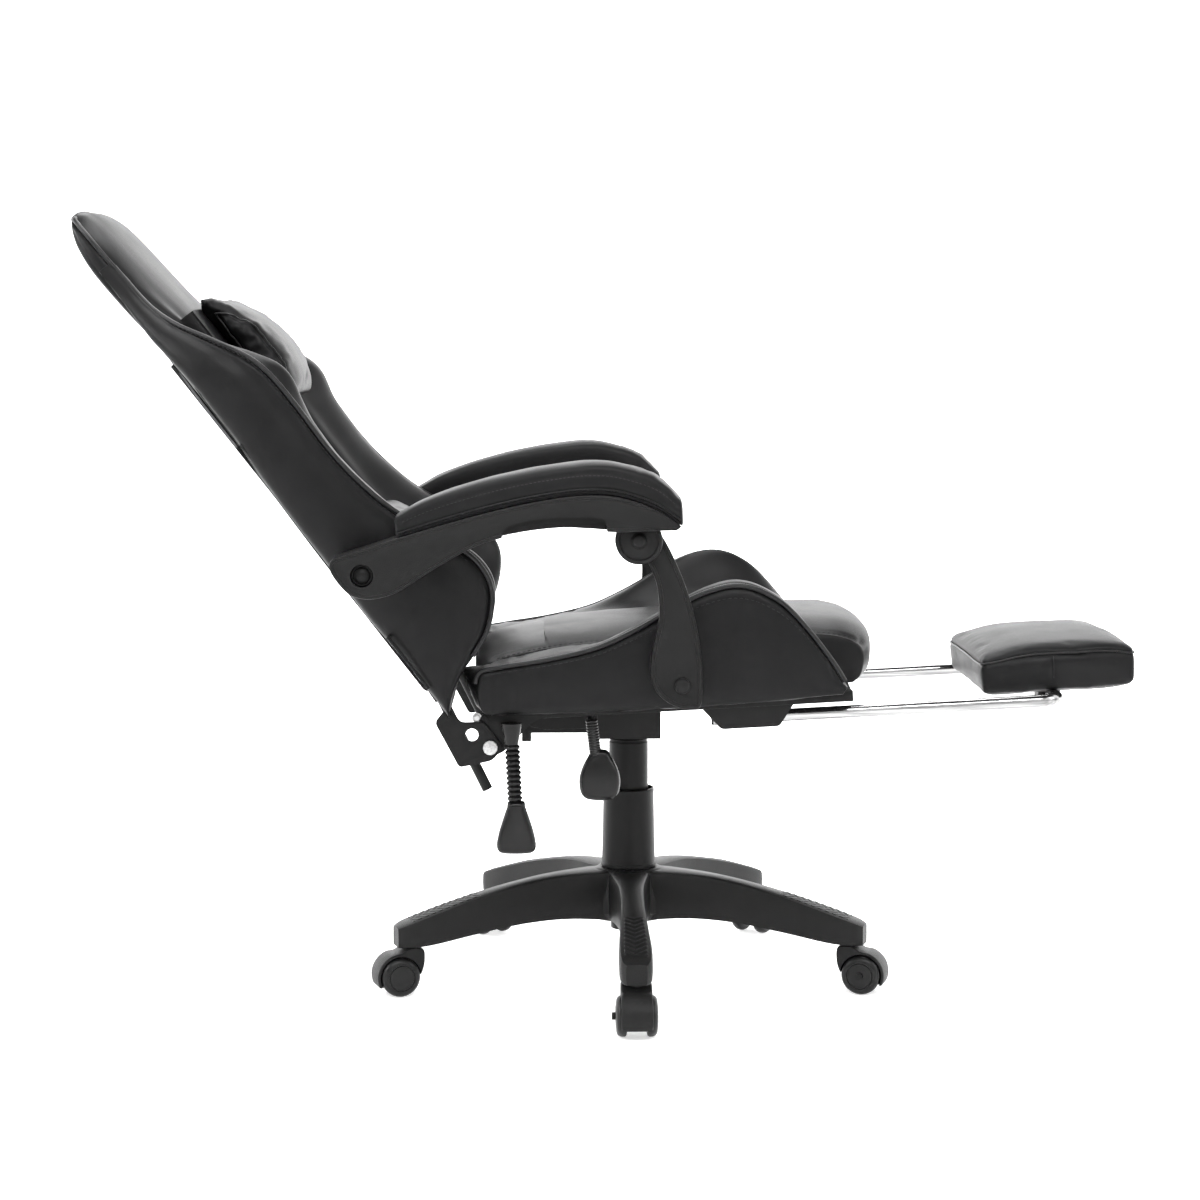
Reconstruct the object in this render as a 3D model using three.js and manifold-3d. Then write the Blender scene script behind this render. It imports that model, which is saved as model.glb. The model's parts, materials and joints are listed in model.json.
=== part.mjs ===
// A reclining gaming chair on a five-star castor base, with linked armrests and a slide-out
// footrest. Millimetres, +Z up. The chair faces +X, and -Y is the sitter's right.
import * as THREE from "three";
import { mergeVertices } from "three/addons/utils/BufferGeometryUtils.js";
import Module from "manifold-3d";

const wasm = await Module();
wasm.setup();

// Driving dimensions

const COLUMN_X = 28; // the column stands this far in front of the middle of the chair's length
const GAP = 0.3; // between pieces that touch
const CLEARANCE = 0.6; // around shafts that turn or slide

const SEAT_PITCH = THREE.MathUtils.degToRad(3);
const SEAT_Z = 345; // the seat's own frame starts here, over the column
const BACK_TILT = THREE.MathUtils.degToRad(38); // from upright
const RECLINE_PIVOT = { x: -176, z: 339 };
const ARM_PIVOT = { x: -324, z: 558 }; // on the back
const DISC_PIVOT = { x: 2, z: 597 }; // where the link meets the armrest
const LINK_PIVOT = { x: 55, z: 421 }; // on the seat

const CASTOR_CIRCLE = 296;
const CASTOR_TRAIL = 18;
const WHEEL_R = 25;
const HUB_TOP = 146;
const COLUMN_R = 23;
const COLUMN_TOP = 275;
const LIFT_R = 14;
const MECHANISM_Z = 320;

const CENTRE_HALF = 168; // half width of the flat middle of seat and back
const SEAT_HALF = 250;
const BACK_HALF = 262;
const CUSHION_Z = 47.3; // underside of the seat foam, in the seat's frame
const FOAM_X = -4.5; // rear of the back's foam, in the back's frame

const ROD_R = 8;
const ROD_Y = 175;
const ROD_Z = 14.4; // in the seat's frame
const CROSSBAR_X = 533;
const ROD_REAR_X = 100;

// Materials

const finish = (color, roughness, metalness) => () =>
  new THREE.MeshStandardMaterial({ color, roughness, metalness });
const leather = finish(0x1a1a1c, 0.45, 0);
const plastic = finish(0x202022, 0.6, 0);
const blackSteel = finish(0x18181a, 0.4, 0.4);
const chrome = finish(0xd8d8dc, 0.1, 1);
const zinc = finish(0xa8a8aa, 0.35, 1);
const webbing = finish(0x141415, 0.9, 0);
const plywood = finish(0xa9814f, 0.7, 0);

// Solids

function toSolid(geometry) {
  const bare = geometry.index ? geometry.toNonIndexed() : geometry.clone();
  bare.deleteAttribute("normal");
  bare.deleteAttribute("uv");
  const merged = mergeVertices(bare, 1e-3);
  return new wasm.Manifold(
    new wasm.Mesh({
      numProp: 3,
      vertProperties: merged.attributes.position.array,
      triVerts: new Uint32Array(merged.index.array),
    }),
  );
}

function toGeometry(solid) {
  const mesh = solid.getMesh();
  const geometry = new THREE.BufferGeometry();
  geometry.setAttribute("position", new THREE.BufferAttribute(mesh.vertProperties, 3));
  geometry.setIndex(new THREE.BufferAttribute(mesh.triVerts, 1));
  return geometry;
}

const join = (...pieces) => toGeometry(pieces.map(toSolid).reduce((a, b) => a.add(b)));
const cut = (body, ...tools) =>
  toGeometry(tools.map(toSolid).reduce((a, b) => a.subtract(b), toSolid(body)));
const common = (a, b) => toGeometry(toSolid(a).intersect(toSolid(b)));

function box(x0, x1, y0, y1, z0, z1) {
  const geometry = new THREE.BoxGeometry(x1 - x0, y1 - y0, z1 - z0);
  return geometry.translate((x0 + x1) / 2, (y0 + y1) / 2, (z0 + z1) / 2);
}

// A round bar of radius r along X, Y or Z, from one end to the other.
function bar(along, r, from, to, [a, b], sides = 16) {
  const geometry = new THREE.CylinderGeometry(r, r, to - from, sides);
  const middle = (from + to) / 2;
  if (along === "x") {
    return geometry.rotateZ(-Math.PI / 2).translate(middle, a, b);
  }
  if (along === "z") {
    return geometry.rotateX(Math.PI / 2).translate(a, b, middle);
  }
  return geometry.translate(a, middle, b);
}

// Something turned about the Z axis, from a list of [radius, height].
function turned(profile, sides = 24) {
  const points = profile.map(([r, z]) => new THREE.Vector2(r, z));
  return new THREE.LatheGeometry(points, sides).rotateX(Math.PI / 2);
}

// An outline with every corner rounded by the same radius, kept within half of each side.
function roundedShape(corners, radius) {
  const points = corners.map(([x, y]) => new THREE.Vector2(x, y));
  if (radius === 0) {
    return new THREE.Shape(points);
  }
  const shape = new THREE.Shape();
  points.forEach((corner, i) => {
    const before = points[(i + points.length - 1) % points.length];
    const after = points[(i + 1) % points.length];
    const reach = Math.min(radius, corner.distanceTo(before) / 2.1, corner.distanceTo(after) / 2.1);
    const start = corner.clone().lerp(before, reach / corner.distanceTo(before));
    const end = corner.clone().lerp(after, reach / corner.distanceTo(after));
    if (i === 0) {
      shape.moveTo(start.x, start.y);
    } else {
      shape.lineTo(start.x, start.y);
    }
    shape.quadraticCurveTo(corner.x, corner.y, end.x, end.y);
  });
  shape.closePath();
  return shape;
}

// A piece cut from a side outline of [x, z], between two widths.
function sideCut(outline, y0, y1, radius = 0, segments = 3) {
  const shape = Array.isArray(outline) ? roundedShape(outline, radius) : outline;
  const settings = { depth: y1 - y0, bevelEnabled: false, curveSegments: segments };
  return new THREE.ExtrudeGeometry(shape, settings).rotateX(Math.PI / 2).translate(0, y1, 0);
}

// A piece cut from a plan outline of [x, y], between two heights.
function planCut(outline, z0, z1, radius = 0, segments = 3) {
  const settings = { depth: z1 - z0, bevelEnabled: false, curveSegments: segments };
  return new THREE.ExtrudeGeometry(roundedShape(outline, radius), settings).translate(0, 0, z0);
}

// The scene graph: one group per frame that the pieces are drawn in.

const chair = new THREE.Group();
const level = new THREE.Group();
level.position.x = COLUMN_X;
const seat = new THREE.Group();
seat.position.set(COLUMN_X, 0, SEAT_Z);
seat.rotation.y = -SEAT_PITCH;
const back = new THREE.Group();
back.position.set(COLUMN_X + RECLINE_PIVOT.x, 0, RECLINE_PIVOT.z);
back.rotation.y = -BACK_TILT;
chair.add(level, seat, back);

function piece(group, name, geometry, material) {
  const mesh = new THREE.Mesh(geometry, material);
  mesh.name = name;
  group.add(mesh);
}

// The two sides of a mirrored pair: the sitter's right is at -Y.
const SIDES = [
  ["right", -1],
  ["left", 1],
];

// The same piece between two distances from the middle plane, on the side that s names.
const sidePiece = (outline, near, far, s, radius, segments) =>
  sideCut(outline, Math.min(s * near, s * far), Math.max(s * near, s * far), radius, segments);
const sideBar = (r, near, far, s, [x, z], sides) =>
  bar("y", r, Math.min(s * near, s * far), Math.max(s * near, s * far), [x, z], sides);

// Five-star base

const LEG_SIDE = [
  [30, 82],
  [90, 84],
  [150, 82],
  [210, 74],
  [272, 63],
  [314, 63],
  [316, 92],
  [304, 100],
  [208, 126],
  [123, 141],
  [55, 145],
  [30, 145],
];

function baseLeg(angle) {
  const halfPlan = [
    [30, -30],
    [60, -26],
    [130, -18],
    [306, -18],
    [316, -9],
  ];
  const plan = [...halfPlan, ...halfPlan.map(([x, y]) => [x, -y]).reverse()];
  const leg = common(sideCut(LEG_SIDE, -40, 40), planCut(plan, 50, 160));
  const socket = bar("z", 6.2, 50, 92, [CASTOR_CIRCLE, 0], 12);
  return cut(leg, socket).rotateZ(angle);
}

function starBase(angles) {
  const hub = turned([
    [COLUMN_R + CLEARANCE, 62],
    [50, 62],
    [58, 84],
    [54, 126],
    [40, HUB_TOP],
    [COLUMN_R + CLEARANCE, HUB_TOP],
    [COLUMN_R + CLEARANCE, 62],
  ]);
  const star = join(hub, ...angles.map(baseLeg));
  return cut(star, bar("z", COLUMN_R + CLEARANCE, 40, 180, [0, 0], 24));
}

// Castors: a stem and hood, and two wheels on one axle.

function castorHood() {
  const arc = Array.from({ length: 7 }, (_, i) => {
    const a = THREE.MathUtils.degToRad(96 - i * 20.5);
    return [CASTOR_TRAIL + 30 * Math.cos(a), WHEEL_R + 30 * Math.sin(a)];
  });
  const outline = [[0, 12.5], [-14, 34], [-14, 61], [10, 61], ...arc];
  const body = sideCut(outline, -19.5, 19.5);
  const stem = bar("z", 5.6, 58, 90, [0, 0], 12);
  const axle = [CASTOR_TRAIL, WHEEL_R];
  return cut(
    join(body, stem),
    bar("y", WHEEL_R + 1.8, 11, 30, axle, 20),
    bar("y", WHEEL_R + 1.8, -30, -11, axle, 20),
    bar("y", 4 + CLEARANCE, -30, 30, axle, 12),
  );
}

function castorWheels() {
  const sides = 20;
  const turn = Math.PI / sides; // puts a flat of the rim on the floor
  const rim = WHEEL_R / Math.cos(turn);
  const wheels = turned(
    [
      [0, -26],
      [19, -26],
      [rim, -21],
      [rim, -12],
      [4, -12],
      [4, 12],
      [rim, 12],
      [rim, 21],
      [19, 26],
      [0, 26],
    ],
    sides,
  );
  return wheels.rotateZ(turn).rotateX(Math.PI / 2).translate(CASTOR_TRAIL, 0, WHEEL_R);
}

const legAngles = Array.from({ length: 5 }, (_, i) => THREE.MathUtils.degToRad(-90 + 72 * i));
piece(level, "star_base", starBase(legAngles), plastic());
legAngles.forEach((angle, i) => {
  const castor = new THREE.Group();
  castor.position.set(CASTOR_CIRCLE * Math.cos(angle), CASTOR_CIRCLE * Math.sin(angle), 0);
  castor.rotation.z = angle;
  level.add(castor);
  piece(castor, `castor_hood_${i + 1}`, castorHood(), plastic());
  piece(castor, `castor_wheels_${i + 1}`, castorWheels(), plastic());
});

// Gas lift and its telescopic cover

piece(
  level,
  "gas_column",
  turned([
    [0, 64],
    [COLUMN_R, 64],
    [COLUMN_R, COLUMN_TOP],
    [LIFT_R + CLEARANCE, COLUMN_TOP],
    [LIFT_R + CLEARANCE, 67],
    [0, 67],
  ]),
  blackSteel(),
);
piece(
  level,
  "column_cover_lower",
  turned([
    [33.5, HUB_TOP + GAP],
    [35.5, HUB_TOP + GAP],
    [33, 250],
    [31, 250],
    [33.5, HUB_TOP + GAP],
  ]),
  plastic(),
);
piece(level, "lift_tube", bar("z", LIFT_R, 98, 332, [0, 0], 24), chrome());
piece(
  level,
  "column_cover_upper",
  turned([
    [24, 190],
    [25.5, 190],
    [25.5, MECHANISM_Z - 2],
    [LIFT_R + 0.5, MECHANISM_Z - 2],
    [LIFT_R + 0.5, MECHANISM_Z - 4],
    [24, MECHANISM_Z - 4],
    [24, 190],
  ]),
  plastic(),
);

// Swivel mechanism: a level housing on the gas lift, with a plate pitched like the seat.

function swivelMechanism() {
  const plate = box(-100, 100, -90, 90, 34.5, 37.5).rotateY(-SEAT_PITCH).translate(0, 0, SEAT_Z);
  const housing = box(-42, 40, -45, 45, MECHANISM_Z, 380);
  const rearBar = box(-130, -40, -30, 30, 326, 335);
  const rearStop = box(-139, -127, -30, 30, 315, 337);
  const socket = bar("z", LIFT_R + CLEARANCE, 300, 336, [0, 0], 24);
  return cut(join(plate, housing, rearBar, rearStop), socket);
}

piece(level, "swivel_mechanism", swivelMechanism(), blackSteel());

// Levers

const HEIGHT_LEVER = { x: -54, y: -215, z: 370 };

function paddle(x, y, top, length, width, thickness) {
  const outline = [
    [x - 7, top],
    [x - width / 2, top - length * 0.6],
    [x - width * 0.42, top - length],
    [x + width * 0.42, top - length],
    [x + width / 2, top - length * 0.6],
    [x + 7, top],
  ];
  return sideCut(outline, y - thickness / 2, y + thickness / 2, 10);
}

function heightLever() {
  const { x, y, z } = HEIGHT_LEVER;
  const rod = bar("y", 4, y, -45 - GAP, [x, z], 10);
  const elbow = new THREE.SphereGeometry(4.2, 10, 8).translate(x, y, z);
  const drop = bar("z", 4, z - 20, z, [x, y], 10);
  return join(rod, elbow, drop);
}

function heightPaddle() {
  const { x, y, z } = HEIGHT_LEVER;
  const sleeve = bar("z", 7.5, 318, z - 4, [x, y], 12);
  const grip = paddle(x + 5, y, 330, 60, 50, 15);
  return cut(join(sleeve, grip), bar("z", 4 + GAP, z - 21, z, [x, y], 10));
}

piece(level, "height_lever_rod", heightLever(), blackSteel());
piece(level, "height_lever_paddle", heightPaddle(), plastic());

const RECLINE_LEVER = { x: -150, y: -256, z: 360 };

function reclineLever() {
  const { x, y } = RECLINE_LEVER;
  const cone = turned([
    [0, 372],
    [13, 372],
    [8, 346],
    [0, 346],
  ].reverse());
  const shaft = bar("y", 5, y, -231, [x, RECLINE_LEVER.z], 12);
  return join(cone.translate(x, y, 0), shaft);
}

function reclineGaiter() {
  const rings = Array.from({ length: 11 }, (_, i) => [
    [6.5, 345 - i * 6.2],
    [8.6, 345 - i * 6.2 - 3.1],
  ]).flat();
  const profile = [[0, 345.6], ...rings, [6.5, 277], [0, 277]];
  return turned(profile.reverse(), 12).translate(RECLINE_LEVER.x + 1, RECLINE_LEVER.y, 0);
}

piece(level, "recline_lever", reclineLever(), plastic());
piece(level, "recline_lever_gaiter", reclineGaiter(), plastic());
piece(
  level,
  "recline_lever_paddle",
  paddle(RECLINE_LEVER.x + 4, RECLINE_LEVER.y, 276.6, 62, 48, 15),
  plastic(),
);

// Seat: rails, board, foam in three parts, recliner brackets and footrest guides

const seatCentre = [
  [-183, CUSHION_Z],
  [-187, 118],
  [-128, 135],
  [-63, 140],
  [214, 142],
  [290, 130],
  [311, 80],
  [304, CUSHION_Z],
];
const seatBolster = [
  [-183, CUSHION_Z],
  [-188, 101],
  [-100, 112],
  [-30, 125],
  [60, 172],
  [134, 200],
  [195, 165],
  [262, 54],
  [256, CUSHION_Z],
];

piece(seat, "seat_board", box(-165, 285, -195, 195, 38, 47), plywood());
piece(
  seat,
  "seat_cushion",
  sideCut(seatCentre, -CENTRE_HALF, CENTRE_HALF, 30),
  leather(),
);

function reclinerBracket(s) {
  const outline = [
    [-190, 8],
    [-176, -9],
    [-160, -4],
    [-120, 34],
    [-96, 36],
    [-96, 46],
    [-150, 46],
    [-176, 46],
    [-190, 40],
  ];
  const plate = sidePiece(outline, 226, 230.5, s, 8);
  const rivet = sideBar(6, 230, 231.5, s, [-182, 36], 12);
  const pivot = { x: RECLINE_PIVOT.x, z: RECLINE_PIVOT.z - SEAT_Z };
  const u = pivot.x * Math.cos(SEAT_PITCH) + pivot.z * Math.sin(SEAT_PITCH);
  const w = pivot.z * Math.cos(SEAT_PITCH) - pivot.x * Math.sin(SEAT_PITCH);
  return cut(join(plate, rivet), sideBar(6 + CLEARANCE, 200, 260, s, [u, w], 16));
}

function footrestGuide(s) {
  const outline = [
    [86, 37.5],
    [86, 30],
    [109, 3],
    [181, 3],
    [202, 33],
    [202, 37.5],
  ];
  const block = sidePiece(outline, ROD_Y - 15, ROD_Y + 15, s, 4);
  return cut(block, bar("x", ROD_R + CLEARANCE, 60, 230, [s * ROD_Y, ROD_Z], 16));
}

for (const [side, s] of SIDES) {
  const rail = box(-165, 270, Math.min(s * 200, s * 225), Math.max(s * 200, s * 225), 34, 46.9);
  piece(seat, `seat_rail_${side}`, rail, blackSteel());
  const bolster = sidePiece(seatBolster, CENTRE_HALF + 0.5, SEAT_HALF, s, 30);
  piece(seat, `seat_bolster_${side}`, bolster, leather());
  piece(seat, `recliner_bracket_${side}`, reclinerBracket(s), blackSteel());
  piece(seat, `footrest_guide_${side}`, footrestGuide(s), plastic());
}

// Back: side tubes, rear panel, foam in three parts, recliner plates

const backCentre = [
  [FOAM_X, 96],
  [2, 119],
  [40, 121],
  [44, 300],
  [44, 655],
  [34, 740],
  [13, 826],
  [-10, 818],
  [-20, 780],
  [-18, 660],
  [FOAM_X, 640],
];
const backWing = [
  [FOAM_X, 92],
  [40, 108],
  [96, 118],
  [140, 160],
  [134, 210],
  [90, 300],
  [75, 395],
  [78, 500],
  [68, 560],
  [40, 600],
  [8, 672],
  [FOAM_X, 672],
];

piece(
  back,
  "back_panel",
  sideCut(
    [
      [-25, 78],
      [-19.4, 78],
      [-19.4, 638],
      [-25, 638],
    ],
    -240,
    240,
  ),
  plastic(),
);
piece(back, "back_cushion", sideCut(backCentre, -CENTRE_HALF, CENTRE_HALF, 24), leather());
piece(
  back,
  "neck_pillow",
  sideCut(
    [
      [44.4, 500],
      [80, 482],
      [98, 540],
      [92, 600],
      [60, 655],
      [44.4, 665],
    ],
    -135,
    135,
    26,
  ),
  leather(),
);
piece(
  back,
  "lumbar_cushion",
  sideCut(
    [
      [44.4, 150],
      [72, 150],
      [80, 230],
      [72, 320],
      [44.4, 320],
    ],
    -150,
    150,
    22,
  ),
  leather(),
);
piece(back, "lumbar_strap", box(-28.2, -25.3, -19, 19, 208, 421), webbing());
piece(back, "strap_buckle", box(-41, -25.3, -26, 26, 421.3, 484), plastic());

// A side tube runs up inside the back and sticks out below the recliner plate.
function backTube(s) {
  const bottom = new THREE.Vector3(-37, s * 212, -41);
  const knee = new THREE.Vector3(-12, s * 212, 80);
  const length = bottom.distanceTo(knee);
  const lean = Math.atan2(knee.x - bottom.x, knee.z - bottom.z);
  const lower = bar("z", 6.5, 0, length, [0, 0], 12);
  lower.rotateY(lean).translate(bottom.x, bottom.y, bottom.z);
  const bend = new THREE.SphereGeometry(6.5, 12, 8).translate(knee.x, knee.y, knee.z);
  return join(lower, bend, bar("z", 6.5, 80, 600, [knee.x, knee.y], 12));
}

function reclinerPlate(s) {
  const outline = [
    [-45, 4],
    [-34, 66],
    [-9, 72],
    [-9, 46],
    [13, 30],
    [13, -10],
    [-8, -14],
  ];
  const boss = sideBar(6, 219, 233, s, [-16.5, 60], 12);
  const plate = join(sidePiece(outline, 232, 236, s, 5), boss);
  return cut(
    plate,
    sideBar(8, 200, 260, s, [-8, 26], 16),
    sideBar(6 + CLEARANCE, 200, 260, s, [0, 0], 16),
  );
}

function pivotBolt(s) {
  const pin = sideBar(6, 222, 238, s, [0, 0], 16);
  return join(pin, sideBar(9, 236 + GAP, 240, s, [0, 0], 12));
}

for (const [side, s] of SIDES) {
  const wing = sidePiece(backWing, CENTRE_HALF + 0.5, BACK_HALF, s, 28);
  piece(back, `back_wing_${side}`, wing, leather());
  piece(back, `back_tube_${side}`, backTube(s), blackSteel());
  piece(back, `recliner_plate_${side}`, reclinerPlate(s), blackSteel());
  piece(back, `recliner_bolt_${side}`, pivotBolt(s), zinc());
}

// Armrests: a shell with the front disc, a pad on top, and the link down to the seat

const padUnder = [
  [-282, 603],
  [-222, 621],
  [-165, 636],
  [-107, 648],
  [-64, 652],
  [-21, 650],
  [23, 636],
  [52, 617],
];
const padTop = [
  [54, 645],
  [23, 674],
  [-21, 688],
  [-64, 691],
  [-136, 679],
  [-200, 663],
  [-250, 646],
  [-284, 630],
];
const shellUnder = [
  [44, 612],
  [20, 611],
  [-23, 609],
  [-92, 612],
  [-136, 607],
  [-185, 595],
  [-240, 566],
  [-299, 534],
  [-322, 530],
  [-346, 541],
  [-362, 569],
  [-350, 580],
];

function armShell(s) {
  const top = padUnder.map(([x, z]) => [x, z - GAP]);
  const beam = sidePiece([...top, ...shellUnder], 272, 330, s, 8);
  const disc = sideBar(28, 292, 318, s, [DISC_PIVOT.x, DISC_PIVOT.z], 28);
  const cap = sideBar(7, 317, 321, s, [DISC_PIVOT.x, DISC_PIVOT.z], 16);
  const recess = [
    [-160, 600],
    [-150, 618],
    [-60, 628],
    [-36, 626],
    [-36, 600],
  ];
  return cut(
    join(beam, disc, cap),
    sidePiece(recess, 300, 340, s, 4),
    sideBar(32, 260, 291, s, [DISC_PIVOT.x, DISC_PIVOT.z], 28),
    sideBar(6 + CLEARANCE, 260, 340, s, [ARM_PIVOT.x, ARM_PIVOT.z], 16),
  );
}

function armBolt(s) {
  const at = [ARM_PIVOT.x, ARM_PIVOT.z];
  return join(sideBar(6, BACK_HALF + GAP, 332, s, at, 16), sideBar(9, 330 + GAP, 333, s, at, 16));
}

function armLink(s) {
  const outline = [
    [-8, 590],
    [14, 570],
    [27, 530],
    [28, 500],
    [16, 450],
    [24, 412],
    [46, 396],
    [78, 391],
    [79, 450],
    [72, 494],
    [58, 540],
    [36, 590],
    [14, 612],
  ];
  const blade = sidePiece(outline, 268, 290, s, 12);
  const head = sideBar(20, 268, 290, s, [DISC_PIVOT.x, DISC_PIVOT.z], 24);
  const hole = sideBar(6 + CLEARANCE, 260, 300, s, [LINK_PIVOT.x, LINK_PIVOT.z], 16);
  return cut(join(blade, head), hole);
}

function linkBolt(s) {
  const at = [LINK_PIVOT.x, LINK_PIVOT.z];
  const flange = sideBar(14, SEAT_HALF + GAP, 267, s, at, 16);
  const pin = sideBar(6, 262, 292, s, at, 16);
  return join(flange, pin, sideBar(8, 290 + GAP, 293, s, at, 16));
}

for (const [side, s] of SIDES) {
  piece(level, `armrest_shell_${side}`, armShell(s), plastic());
  piece(level, `armrest_pad_${side}`, sidePiece([...padUnder, ...padTop], 262, 332, s, 10), leather());
  piece(level, `armrest_bolt_${side}`, armBolt(s), zinc());
  piece(level, `armrest_link_${side}`, armLink(s), plastic());
  piece(level, `link_bolt_${side}`, linkBolt(s), plastic());
}

// Footrest: two rods joined by a crossbar, and a pad that turns about the crossbar

const BEND_R = 25;

function footrestRods() {
  const turnX = CROSSBAR_X - BEND_R;
  const turnY = ROD_Y - BEND_R;
  const section = new THREE.Shape().absarc(0, 0, ROD_R, 0, 2 * Math.PI);
  const parts = [bar("y", ROD_R, -turnY - 1, turnY + 1, [CROSSBAR_X, ROD_Z], 16)];
  for (const [, s] of SIDES) {
    const arc = new THREE.QuadraticBezierCurve3(
      new THREE.Vector3(turnX, s * ROD_Y, ROD_Z),
      new THREE.Vector3(CROSSBAR_X, s * ROD_Y, ROD_Z),
      new THREE.Vector3(CROSSBAR_X, s * turnY, ROD_Z),
    );
    const settings = { steps: 6, curveSegments: 8, extrudePath: arc };
    parts.push(new THREE.ExtrudeGeometry(section, settings));
    parts.push(bar("x", ROD_R, ROD_REAR_X, turnX + 1, [s * ROD_Y, ROD_Z], 16));
  }
  return join(...parts);
}

function footrestHinge() {
  const saddles = [-1, 1].map((s) => {
    const y = [s * 70, s * 100].sort((a, b) => a - b);
    return box(CROSSBAR_X - 14, CROSSBAR_X + 14, y[0], y[1], 2, 24);
  });
  const plate = box(CROSSBAR_X - 60, CROSSBAR_X + 60, -105, 105, 23, 25);
  const hole = bar("y", ROD_R + CLEARANCE, -120, 120, [CROSSBAR_X, ROD_Z], 16);
  return cut(join(plate, ...saddles), hole);
}

piece(seat, "footrest_rods", footrestRods(), chrome());
piece(seat, "footrest_hinge", footrestHinge(), blackSteel());
piece(
  seat,
  "footrest_pad",
  sideCut(
    [
      [448, 25 + GAP],
      [448, 62],
      [500, 76],
      [600, 80],
      [632, 72],
      [632, 30],
      [620, 25 + GAP],
    ],
    -140,
    140,
    10,
  ),
  leather(),
);

export default chair;
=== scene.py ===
import json
import math
from functools import lru_cache

import bmesh
import bpy
import numpy as np
from mathutils import Matrix, Vector, kdtree, noise

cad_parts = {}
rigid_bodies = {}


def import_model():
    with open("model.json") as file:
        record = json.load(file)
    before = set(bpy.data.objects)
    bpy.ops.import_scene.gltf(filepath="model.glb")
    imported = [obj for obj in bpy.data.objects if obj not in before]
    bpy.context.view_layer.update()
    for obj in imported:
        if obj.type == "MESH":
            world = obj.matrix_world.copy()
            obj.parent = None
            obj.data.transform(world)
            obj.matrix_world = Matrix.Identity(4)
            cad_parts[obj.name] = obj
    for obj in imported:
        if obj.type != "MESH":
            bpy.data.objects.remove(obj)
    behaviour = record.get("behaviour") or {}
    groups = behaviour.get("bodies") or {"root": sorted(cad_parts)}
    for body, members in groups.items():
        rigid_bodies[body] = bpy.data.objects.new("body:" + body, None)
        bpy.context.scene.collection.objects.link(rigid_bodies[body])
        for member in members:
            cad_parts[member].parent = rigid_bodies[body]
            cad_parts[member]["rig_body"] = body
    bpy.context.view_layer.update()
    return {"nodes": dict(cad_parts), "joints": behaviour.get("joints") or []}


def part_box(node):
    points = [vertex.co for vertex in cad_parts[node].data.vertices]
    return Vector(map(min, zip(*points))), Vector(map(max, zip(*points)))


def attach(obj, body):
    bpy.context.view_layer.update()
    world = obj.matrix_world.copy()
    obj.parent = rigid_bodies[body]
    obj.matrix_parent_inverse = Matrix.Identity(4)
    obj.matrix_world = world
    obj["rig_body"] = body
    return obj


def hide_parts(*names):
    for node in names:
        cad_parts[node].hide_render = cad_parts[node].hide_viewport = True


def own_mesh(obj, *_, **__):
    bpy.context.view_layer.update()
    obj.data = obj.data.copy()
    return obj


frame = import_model()
joint = {j["name"]: j for j in frame["joints"]}
SIDES = {"right": -1, "left": 1}

# %% [markdown]
# The chair is drawn in three frames. The base and armrests stand level with the column. The seat is pitched
# up a little at the front. The back leans about the recline pivot. A point is given in the frame of its part,
# and one function for each frame turns it into a place in the room.
# %% Three frames to draw in
SEAT_PITCH = math.radians(3)
SEAT_RISE = 0.025
BACK_TILT = math.radians(38)
swivel = Vector(joint["seat_swivel"]["pos_m"])
recline = Vector(joint["back_recline"]["pos_m"])


def at_level(x, y, z):
    """x forward of the column, z above the floor."""
    return Vector((swivel.x + x, y, z))


def at_seat(u, y, w):
    """u forward along the seat, w up from its underside."""
    c, s = math.cos(SEAT_PITCH), math.sin(SEAT_PITCH)
    return Vector((swivel.x + u * c - w * s, y, swivel.z + SEAT_RISE + u * s + w * c))


def at_back(s, y, d):
    """s up along the back, d forward out of it."""
    c, n = math.cos(BACK_TILT), math.sin(BACK_TILT)
    return Vector((recline.x + d * c - s * n, y, recline.z + d * n + s * c))


print("the headrest's top is near", tuple(round(v, 3) for v in at_back(0.82, 0, 0)))

# %% [markdown]
# Shader sums are easier to read as sums. A `Wire` wraps one socket, and its operators add Math nodes. A
# `Finish` is one material: `add` makes any node from its type, its settings and its inputs. The same two
# small classes serve every finish on the chair.
# %% Sockets that add up
class Wire:
    """One socket of a material, with arithmetic."""

    def __init__(self, finish, socket):
        self.finish = finish
        self.socket = socket

    def math(self, operation, *values):
        return self.finish.math(operation, *values)

    def __add__(self, other):
        return self.math("ADD", self, other)

    def __sub__(self, other):
        return self.math("SUBTRACT", self, other)

    def __mul__(self, other):
        return self.math("MULTIPLY", self, other)

    def __rsub__(self, other):
        return self.math("SUBTRACT", other, self)

    __radd__ = __add__
    __rmul__ = __mul__

    def clamped(self, low, high):
        return self.math("MAXIMUM", self.math("MINIMUM", self, high), low)

    def wave(self):
        return self.math("SINE", self)


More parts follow.
